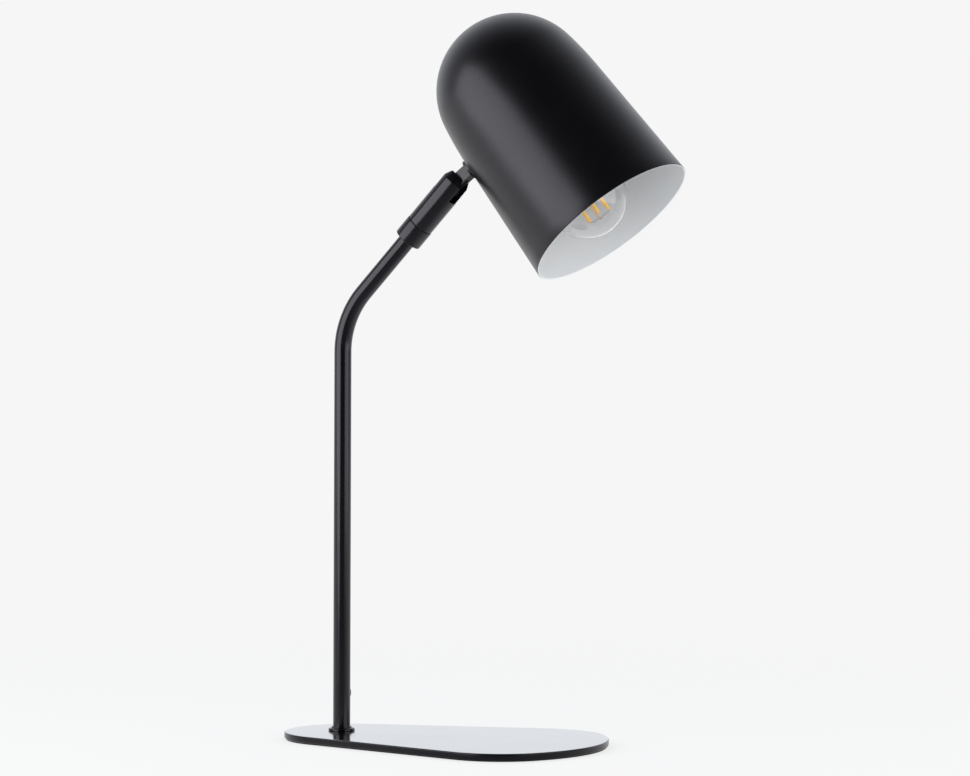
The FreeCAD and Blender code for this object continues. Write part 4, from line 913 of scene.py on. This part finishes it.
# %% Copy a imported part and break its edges
def broken_edges(node, name, width_mm, *looks):
    """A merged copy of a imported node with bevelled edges. The node itself stays as it is."""
    work = bmesh.new()
    work.from_mesh(nodes[node].data)
    bmesh.ops.remove_doubles(work, verts=work.verts, dist=2e-7)
    bmesh.ops.dissolve_limit(work, angle_limit=np.radians(0.4), verts=work.verts, edges=work.edges)
    mesh = bpy.data.meshes.new(name)
    work.to_mesh(mesh)
    work.free()
    smooth(mesh, EDGE_TURN)
    piece = link(name, mesh)
    bevel(piece, width_mm)
    return stands_for(piece, node, *looks)


tongue = broken_edges("knuckle_tongue", "tongue_block", 0.3, "tongue_black", "tongue_dull")
# The faces that look towards the rim side, the tongue's underside, take the darker copy of its coat:
# painted shade.
second_finish(tongue, face_rows(tongue, "normal") @ PIVOT[2] > 0.5)
# Each row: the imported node, the new piece, the bevel's width in millimetres and the finish.
SMALL_PARTS = [
    ("pivot_pin", "pivot_rivet", 0.2, "zinc"),
    ("swivel_guide_screw", "guide_screw", 0.15, "blacked_steel"),
    ("collar_screw", "collar_grub_screw", 0.15, "blacked_steel"),
    ("shade_nut", "stud_nut", 0.3, "zinc"), ("holder_locknut", "nipple_nut", 0.3, "zinc"),
    ("holder_strap", "bent_strap", 0.2, "zinc"), ("terminal_screws", "terminal_heads", 0.25, "brass"),
    ("centre_contact", "contact_leaf", 0.08, "brass"), ("holder_core", "clay_core", 0.3, "fired_clay"),
    ("cord_inlet", "inlet_grommet", 0.25, "rubber"),
]
for small_part in SMALL_PARTS:
    broken_edges(*small_part)

# %% [markdown]
# The lock washer under the shade's nut has teeth: its outer edge is slit and each tooth is twisted.
# The twist is a saw-tooth in height round the washer, and it grows from nothing at the plain inner
# ring to its full height at the tips.

# %% Make the toothed lock washer
def toothed_washer(name, spot, bore, tips, low, thickness, teeth=10, sides=240):
    """Ring with height z = low + thickness (level + twist), where twist = k(r) (saw(t) - 1/2).

    saw runs from 0 to 1 over each tooth. k grows from 0 at the teeth's root, which lies at 0.45 of
    the way out, to 0.3 at their tips. The first 0.16 of each tooth is the slit between two teeth.
    """
    t = around(sides)
    saw = (t * teeth / (2 * np.pi)) % 1.0
    root = bore + (tips - bore) * 0.45
    reach = np.where(saw < 0.16, root, tips)
    share = np.array([0.0, 0.4, 1.0, 1.0, 0.4, 0.0])[:, None]
    level = np.array([0.15, 0.15, 0.15, 0.85, 0.85, 0.85])[:, None]
    radius = bore + (reach - bore) * share
    twist = np.clip((radius - root) / (tips - root), 0, 1) * (saw - 0.5) * 0.3
    height = low + thickness * (level + twist)
    return surface(name, round_points(spot, radius, height, t), ring=True, sharp_turn=30.0)


STAR_TIPS, STAR_LOW, STAR_THICKNESS = 7.8, 28.4, 1.0
star = toothed_washer("toothed_washer", PIVOT, STUD_WAY, STAR_TIPS, STAR_LOW, STAR_THICKNESS)
node_low, node_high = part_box("star_washer")
made = np.array([corner[:] for corner in star.bound_box])
print("packed washer", np.round(np.array([node_low, node_high]) / MM, 1).tolist(),
      "made", np.round([made.min(0) / MM, made.max(0) / MM], 1).tolist())
stands_for(star, "star_washer", "zinc")

# %% [markdown]
# ## The lamp holder
#
# The holder is moulded in two halves that screw together, so it shows a fine seam and a ring of
# grip ribs on the lower half. The ribs are a cosine round the skirt that fades out at both ends.

# %% Make the holder's cap and skirt
def ribbed(name, section, spot, ribs, depth, low, high, sides):
    """Turned wall whose outer radius is r - w(h) depth (1 - cos(ribs t)) / 2.

    The window w is 1 between the heights low and high, with a ramp of one millimetre at each end.
    """
    section = np.asarray(section, float)
    t = around(sides)
    height, is_outer = section[:, 1], section[:, 2] > 0.5
    window = np.clip(height - low, 0, 1) * np.clip(high - height, 0, 1)
    dip = (window * is_outer)[:, None] * depth * (1 - np.cos(ribs * t))[None] / 2
    grid = round_points(spot, section[:, :1] - dip, section[:, 1:2], t)
    return surface(name, grid, ring=True, sharp_turn=50.0)


HOLDER_MOUTH, HOLDER_SPLIT, HOLDER_TOP = 73.25, 107.75, 129.75
THROAT, LIP_TOP, HOLDER_BORE, HOLDER_OUT, NIPPLE_HOLE = 13.9, 75.75, 17.9, 20.5, 5.1
skirt_outer = np.column_stack([np.linspace((19.05, 74.2), (20.45, 107.0), 26), np.ones(26)])
skirt_section = np.concatenate([
    [(THROAT, HOLDER_MOUTH, 0), (18.4, HOLDER_MOUTH, 0), (18.85, 73.45, 0), (19.0, 73.9, 0)],
    skirt_outer,
    [(20.35, 107.5, 0), (20.1, HOLDER_SPLIT, 0), (HOLDER_BORE, HOLDER_SPLIT, 0),
     (16.4, LIP_TOP, 0), (THROAT, LIP_TOP, 0)],
])
skirt = ribbed("holder_sleeve", skirt_section, HOLDER, ribs=36, depth=0.45, low=78.0, high=104.0,
               sides=288)
stands_for(skirt, "holder_skirt", "bakelite")

cap_section = eased([
    (NIPPLE_HOLE, 127.15, 0), (9.7, 127.15, 1.0), (HOLDER_BORE, 113.45, 1.0),
    (HOLDER_BORE, HOLDER_SPLIT, 0), (HOLDER_OUT, HOLDER_SPLIT, 0.3), (HOLDER_OUT, 114.75, 3.0),
    (11.0, HOLDER_TOP, 2.0), (NIPPLE_HOLE, HOLDER_TOP, 0),
], steps=7, closed=True)
dome = turned("holder_dome", cap_section, HOLDER, sides=128, ring=True, sharp_turn=50.0)
stands_for(dome, "holder_cap", "bakelite")

# %% [markdown]
# ## Rolled threads
#
# The screw shell and the bulb's cap are thin sheet, rolled into the same round thread of 3.6 mm
# pitch. Its wall is a cosine in height whose phase moves on by one turn for each turn round the axis,
# which is what makes rings into a helix. The cap has a plain lip below its thread, and a shoulder
# above it closes in.

# %% Make the screw shell and the bulb's cap
PITCH = 3.62
ROUND = around(128)


def helix(height):
    """A cosine in height that moves on by a turn for each turn: cos(2 pi h / pitch - t)."""
    return np.cos(2 * np.pi * height[:, None] / PITCH - ROUND[None])


def ramps(height, low, run_in, high, run_out):
    """Rises from 0 at the low height to 1 over run_in, and falls to 0 at the high over run_out."""
    rising = np.clip((height - low) / run_in, 0, 1)
    return (rising * np.clip((high - height) / run_out, 0, 1))[:, None]


def sheet(name, spot, height, outer, wall):
    """A thin round wall. Its outer face, radii by height and turn, runs up and its inner down."""
    radius = np.concatenate([outer, outer[::-1] - wall])
    both = np.concatenate([height, height[::-1]])[:, None]
    return surface(name, round_points(spot, radius, both, ROUND), ring=True, sharp_turn=60.0)


SHELL, SHELL_DEPTH, SHELL_WALL = 13.8, 0.12, 0.25
SHELL_FOOT, SHELL_TOP, SHELL_RUN = 75.8, 99.5, 2.5
height = np.linspace(SHELL_FOOT, SHELL_TOP, 150)
wave = ramps(height, SHELL_FOOT, SHELL_RUN, SHELL_TOP, SHELL_RUN) * helix(height)
shell_outer = SHELL + SHELL_DEPTH * (wave - 1)
stands_for(sheet("rolled_shell", HOLDER, height, shell_outer, SHELL_WALL), "screw_shell", "brass")

CAP, CAP_DEPTH, CAP_WALL = 13.1, 0.42, 0.3
CAP_FOOT, THREAD_FOOT, THREAD_TOP, CAP_TOP = 74.5, 77.4, 92.6, 96.5
CLOSING_FOOT, CLOSING_RUN = 92.9, 3.6
height = np.linspace(CAP_FOOT, CAP_TOP, 140)
thread = CAP_DEPTH * ramps(height, THREAD_FOOT, 1.6, THREAD_TOP, 1.2) * (1 - helix(height))
closing = CLOSING_RUN * np.clip((height - CLOSING_FOOT) / CLOSING_RUN, 0, 1) ** 1.6
cap_outer = CAP - thread - closing[:, None]
stands_for(sheet("rolled_cap", HOLDER, height, cap_outer, CAP_WALL), "bulb_cap", "cap_metal")

# %% [markdown]
# ## The bulb
#
# The glass is blown: a round globe that flows into a neck with no corner. A circle, a straight cone
# and a straight neck give its form, and the corner between cone and neck is eased over twelve
# millimetres each way. The inner face is the same curve moved in along its normals by the wall. The
# packed wall is 0.9 mm thick and this one 0.6 mm, for a thinner ring at the edge of the bulb. The
# ring is still wider than in the picture.

# %% Make the glass
TIP, GLOBE, GLOBE_TURN, NECK, NECK_FOOT, GLASS_END = -3.0, 30.0, 38.0, 12.6, 67.0, 77.0
GLASS_WALL = 0.6


def moved_in(curve, distance):
    """Moves each point of a curve to its left by a distance, square to the curve's direction."""
    run = np.gradient(curve, axis=0)
    run /= np.linalg.norm(run, axis=1)[:, None]
    return curve + distance * np.stack([-run[:, 1], run[:, 0]], 1)


globe = arc((0.0, TIP + GLOBE), GLOBE, -90.0, GLOBE_TURN, 60)
join = globe[-1]
cone_and_neck = eased([(*join, 0), (NECK, NECK_FOOT, 12.0), (NECK, GLASS_END, 0)], steps=22)
tail = np.concatenate([join + (cone_and_neck[1] - join) * np.linspace(0.1, 0.9, 8)[:, None],
                       cone_and_neck[1:]])
glass_outer = np.concatenate([globe, tail])
glass_inner = moved_in(glass_outer, GLASS_WALL)
glass_inner[0] = (0.0, TIP + GLASS_WALL)
glass_section = np.concatenate([glass_outer, glass_inner[::-1]])
glass = turned("bulb_globe", glass_section, HOLDER, sides=160, sharp_turn=70.0)
stands_for(glass, "bulb_glass", "clear_glass")

# %% [markdown]
# Inside the glass stands the mount: a flared glass foot, pinched to a neck, with a thin rod down the
# middle. Fine wires reach out from the rod and hold the four filaments.

# %% Make the glass mount
mount_section = eased([
    (0.0, 7.8, 0), (1.3, 7.8, 0.8), (1.3, 50.0, 3.0), (2.4, 54.0, 2.0), (3.6, 66.0, 5.0),
    (11.3, 76.1, 2.0), (11.3, 76.9, 0.3), (0.0, 76.9, 0),
], steps=8)
mount = turned("glass_mount", mount_section, HOLDER, sides=64, sharp_turn=60.0)
stands_for(mount, "bulb_mount", "mount_glass")

# %% Make the filaments and their wires
FILAMENT_TURNS = np.radians([20.0, 110.0, 200.0, 290.0])
FILAMENT_ENDS = (10.0, 44.0)
CIRCLE_AT_TIP, CIRCLE_AT_FOOT = 8.3, 7.6
HUB, KNEE, WIRE = 1.2, 6.4, 0.28


def tube_along(points, radius, sides=12):
    """Grid of a round bar through points: each ring stands square to the run, with closed ends.

    The guide is a direction that no bar here runs along. Each ring starts square to it.
    """
    points = np.asarray(points, float)
    run = np.gradient(points, axis=0)
    run /= np.linalg.norm(run, axis=1)[:, None]
    guide = np.array([0.31, 0.87, 0.38])
    first = np.cross(run, guide)
    first /= np.linalg.norm(first, axis=1)[:, None]
    second = np.cross(run, first)
    t = around(sides)
    circle = np.cos(t)[None, :, None] * first[:, None] + np.sin(t)[None, :, None] * second[:, None]
    radius = np.broadcast_to(radius, len(points))
    body = points[:, None] + radius[:, None, None] * circle
    ends = [np.repeat(points[k][None, None], sides, axis=1) for k in (0, -1)]
    return np.concatenate([ends[0], body, ends[1]])


def joined(name, grids, sharp_turn=60.0):
    """One piece from several grids: each is made by itself and then joined to the first."""
    parts = [surface(name, grid, sharp_turn=sharp_turn) for grid in grids]
    work = bmesh.new()
    for part in parts:
        work.from_mesh(part.data)
    mesh = bpy.data.meshes.new(name)
    work.to_mesh(mesh)
    work.free()
    for part in parts:
        bpy.data.objects.remove(part)
    smooth(mesh, sharp_turn)
    return link(name, mesh)


def on_circle(turn, radius, height):
    """A point of the holder's place at a turn, a radius and a height, in metres."""
    return at(HOLDER, radius * np.cos(turn), radius * np.sin(turn), height)


strips, wires = [], []
for turn in FILAMENT_TURNS:
    low = on_circle(turn, CIRCLE_AT_TIP, FILAMENT_ENDS[0])
    high = on_circle(turn, CIRCLE_AT_FOOT, FILAMENT_ENDS[1])
    share = np.array([0.0, 0.012, 0.03, 0.06, 0.5, 0.94, 0.97, 0.988, 1.0])[:, None]
    girth = np.array([0.5, 0.9, 1.15, 1.25, 1.25, 1.25, 1.15, 0.9, 0.5]) * MM
    strips.append(tube_along(low + share * (high - low), girth, 16))
    for end, height, rise in ((low, FILAMENT_ENDS[0], -1.2), (high, FILAMENT_ENDS[1], 1.6)):
        hub = on_circle(turn, HUB, height + rise)
        knee = on_circle(turn, KNEE, height + rise)
        wires.append(tube_along([hub, hub + 0.5 * (knee - hub), knee, 0.4 * knee + 0.6 * end, end],
                                WIRE * MM, 8))
stands_for(joined("filament_strips", strips), "bulb_filaments", "phosphor")
stands_for(joined("support_wires", wires), "filament_wires", "bright_wire")

# %% [markdown]
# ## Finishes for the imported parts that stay
#
# The parts that hide inside the joints keep their packed form and get a finish of their own.

# %% Give the remaining nodes their finishes
REMAINING = {
    "base_screw": "zinc", "stem_plug": "zinc", "locating_dowel": "zinc", "swivel_spigot": "zinc",
    "swivel_stop": "zinc", "swivel_washer": "nylon", "tilt_washers": "zinc",
    "shade_saddle": "nylon", "holder_nipple": "zinc", "bulb_insulator": "black_glass",
    "bulb_contact": "zinc",
}
for node, look in REMAINING.items():
    nodes[node].data.materials.clear()
    nodes[node].data.materials.append(finishes[look])
print("kept as packed:", sorted(REMAINING))

# %% [markdown]
# ## Studio
#
# The floor is pale and has no edge in view. To the camera, and to what mirrors it, it shines in the
# tone of the picture's background, with a small share of its real shading left in, so the lamp still
# has a soft shadow. Farther out that share fades, and the floor meets the background with no line.
# A studio's pale sweep ends in front of the lamp. So in what mirrors the floor, it is dark towards
# the camera, and elsewhere it has the tone that the camera sees. This is set for the picture's view
# and is not how a real table would shine.

# %% Make the floor
BACKGROUND = (0.9216, 0.9216, 0.9216, 1.0)
FADE_FROM, FADE_TO = 0.30, 1.1
FLOOR_DROP = 0.0003


def make_floor():
    """A disc of 24 m radius, just under the foot pad, from rings of points.

    In mirrors its glow is times 1 + c. As the way from the stem . camera_back goes from 0.1 to
    0.9, c goes from 0 to -0.85, and within 0.2 m of the stem it fades to nothing.
    """
    radius = np.array([0.0, 0.4, 1.0, 3.0, 8.0, 24.0])
    t = around(64)
    grid = radius[:, None, None] * np.stack([np.cos(t), np.sin(t), 0 * t], 1)[None]
    grid[..., 2] = -FLOOR_DROP
    floor = surface("floor", grid)
    material, tree, shader = new_material("floor_pale")
    fill(tree, shader, {"Base Color": (0.86, 0.86, 0.86, 1.0), "Roughness": 0.9,
                        "Specular IOR Level": 0.0})
    path = add(tree, "LightPath").outputs
    spot = place_on(tree)
    away = vectors(tree, "LENGTH", spot)
    share = spread(tree, away, FADE_FROM, FADE_TO, 0.75, 1.0)
    ahead = vectors(tree, "DOT_PRODUCT", vectors(tree, "NORMALIZE", spot),
                    (camera_back * (1, 1, 0)).tolist())
    change = spread(tree, ahead, 0.1, 0.9, 0.0, -0.85)
    change = sums(tree, "MULTIPLY", change, spread(tree, away, 0.05, 0.2, 0, 1))
    change = sums(tree, "MULTIPLY", change, path["Is Glossy Ray"])
    strength = sums(tree, "MULTIPLY", spread(tree, away, FADE_FROM, FADE_TO, 1.045, 1.0),
                    sums(tree, "ADD", 1.0, change))
    glow = fill(tree, add(tree, "Emission"), {"Color": BACKGROUND, "Strength": strength})
    mirrored = sums(tree, "MAXIMUM", path["Is Glossy Ray"], path["Is Transmission Ray"])
    seen = sums(tree, "MAXIMUM", path["Is Camera Ray"], mirrored)
    show_mix(tree, sums(tree, "MULTIPLY", seen, share), shader, glow)
    floor.data.materials.append(material)


make_floor()

# %% [markdown]
# The room round the lamp is dim, with a pale wall behind it. In the lamp's satin coat that wall
# shows only at grazing angles, as the pale line along both edges of the shade. The camera sees the
# background tone in every direction.

# %% Make the room
def make_room():
    """World light: wall = clip((d . look + 0.45) / 1.15) ^ 1.9, for a ray's direction d.

    The wall is brightest behind the lamp and fades overhead, and glossy metal mirrors it. What
    scatters light gets a soft light from all round as well.
    """
    world = bpy.data.worlds.new("room")
    scene.world = world
    world.use_nodes = True
    tree = world.node_tree
    shown = fill(tree, tree.nodes["Background"], {"Color": BACKGROUND})
    path = add(tree, "LightPath").outputs
    ray = add(tree, "TexCoord").outputs["Generated"]
    along = vectors(tree, "DOT_PRODUCT", ray, (-camera_back).tolist())
    wall = sums(tree, "POWER", spread(tree, along, -0.45, 0.70, 0.0, 1.0), 1.9)
    dim = sums(tree, "ADD", 0.006, sums(tree, "MULTIPLY", wall, 1.04))
    bounce = sums(tree, "MULTIPLY", path["Is Diffuse Ray"], 0.46)
    room = fill(tree, add(tree, "Background"), {
        "Color": (0.93, 0.96, 1.0, 1.0), "Strength": sums(tree, "ADD", dim, bounce)})
    show_mix(tree, path["Is Camera Ray"], room, shown, "World Output")


make_room()

# %% [markdown]
# Two wide softboxes shape the black metal, one to the left of the camera and one to its right. The
# stem mirrors them as its two light streaks, and the shade mirrors the left one as a broad grey
# band. A softbox is set by how bright its face is, so moving it or making it larger keeps its streak
# as bright as it was.

# %% Place the softboxes
def softbox(name, turn, distance, height, look_at, size, brightness, lean=0.0):
    """Area light at a turn to the right of the camera, as seen from the lamp, in degrees.

    Its power is brightness times pi times its area. It leans its top towards rising turns.
    """
    angle = np.radians(turn)
    back = np.array([camera_back[0], camera_back[1], 0.0])
    back /= np.linalg.norm(back)
    way = np.cos(angle) * back + np.sin(angle) * level_right
    centre = np.array([look_at[0], look_at[1], 0.0]) + way * distance + [0, 0, height]
    data = bpy.data.lights.new(name, "AREA")
    data.shape = "RECTANGLE"
    data.size, data.size_y = size
    data.energy = brightness * np.pi * size[0] * size[1]
    lamp = bpy.data.objects.new(name, data)
    scene.collection.objects.link(lamp)
    aim = (Vector(look_at) - Vector(centre)).to_track_quat("-Z", "Y").to_matrix().to_4x4()
    lamp.matrix_world = Matrix.Translation(centre) @ aim @ Matrix.Rotation(-np.radians(lean), 4, "Z")
    lamp.visible_camera = False
    print(name, "at", np.round(centre, 2), "power", round(data.energy, 1))


softbox("left_softbox", -60.0, 1.4, 0.62, (0.05, 0.0, 0.62), (1.60, 1.10), 2.65, lean=14.0)
softbox("right_softbox", 58.0, 1.4, 0.56, (0.05, 0.0, 0.56), (1.46, 0.92), 1.6)
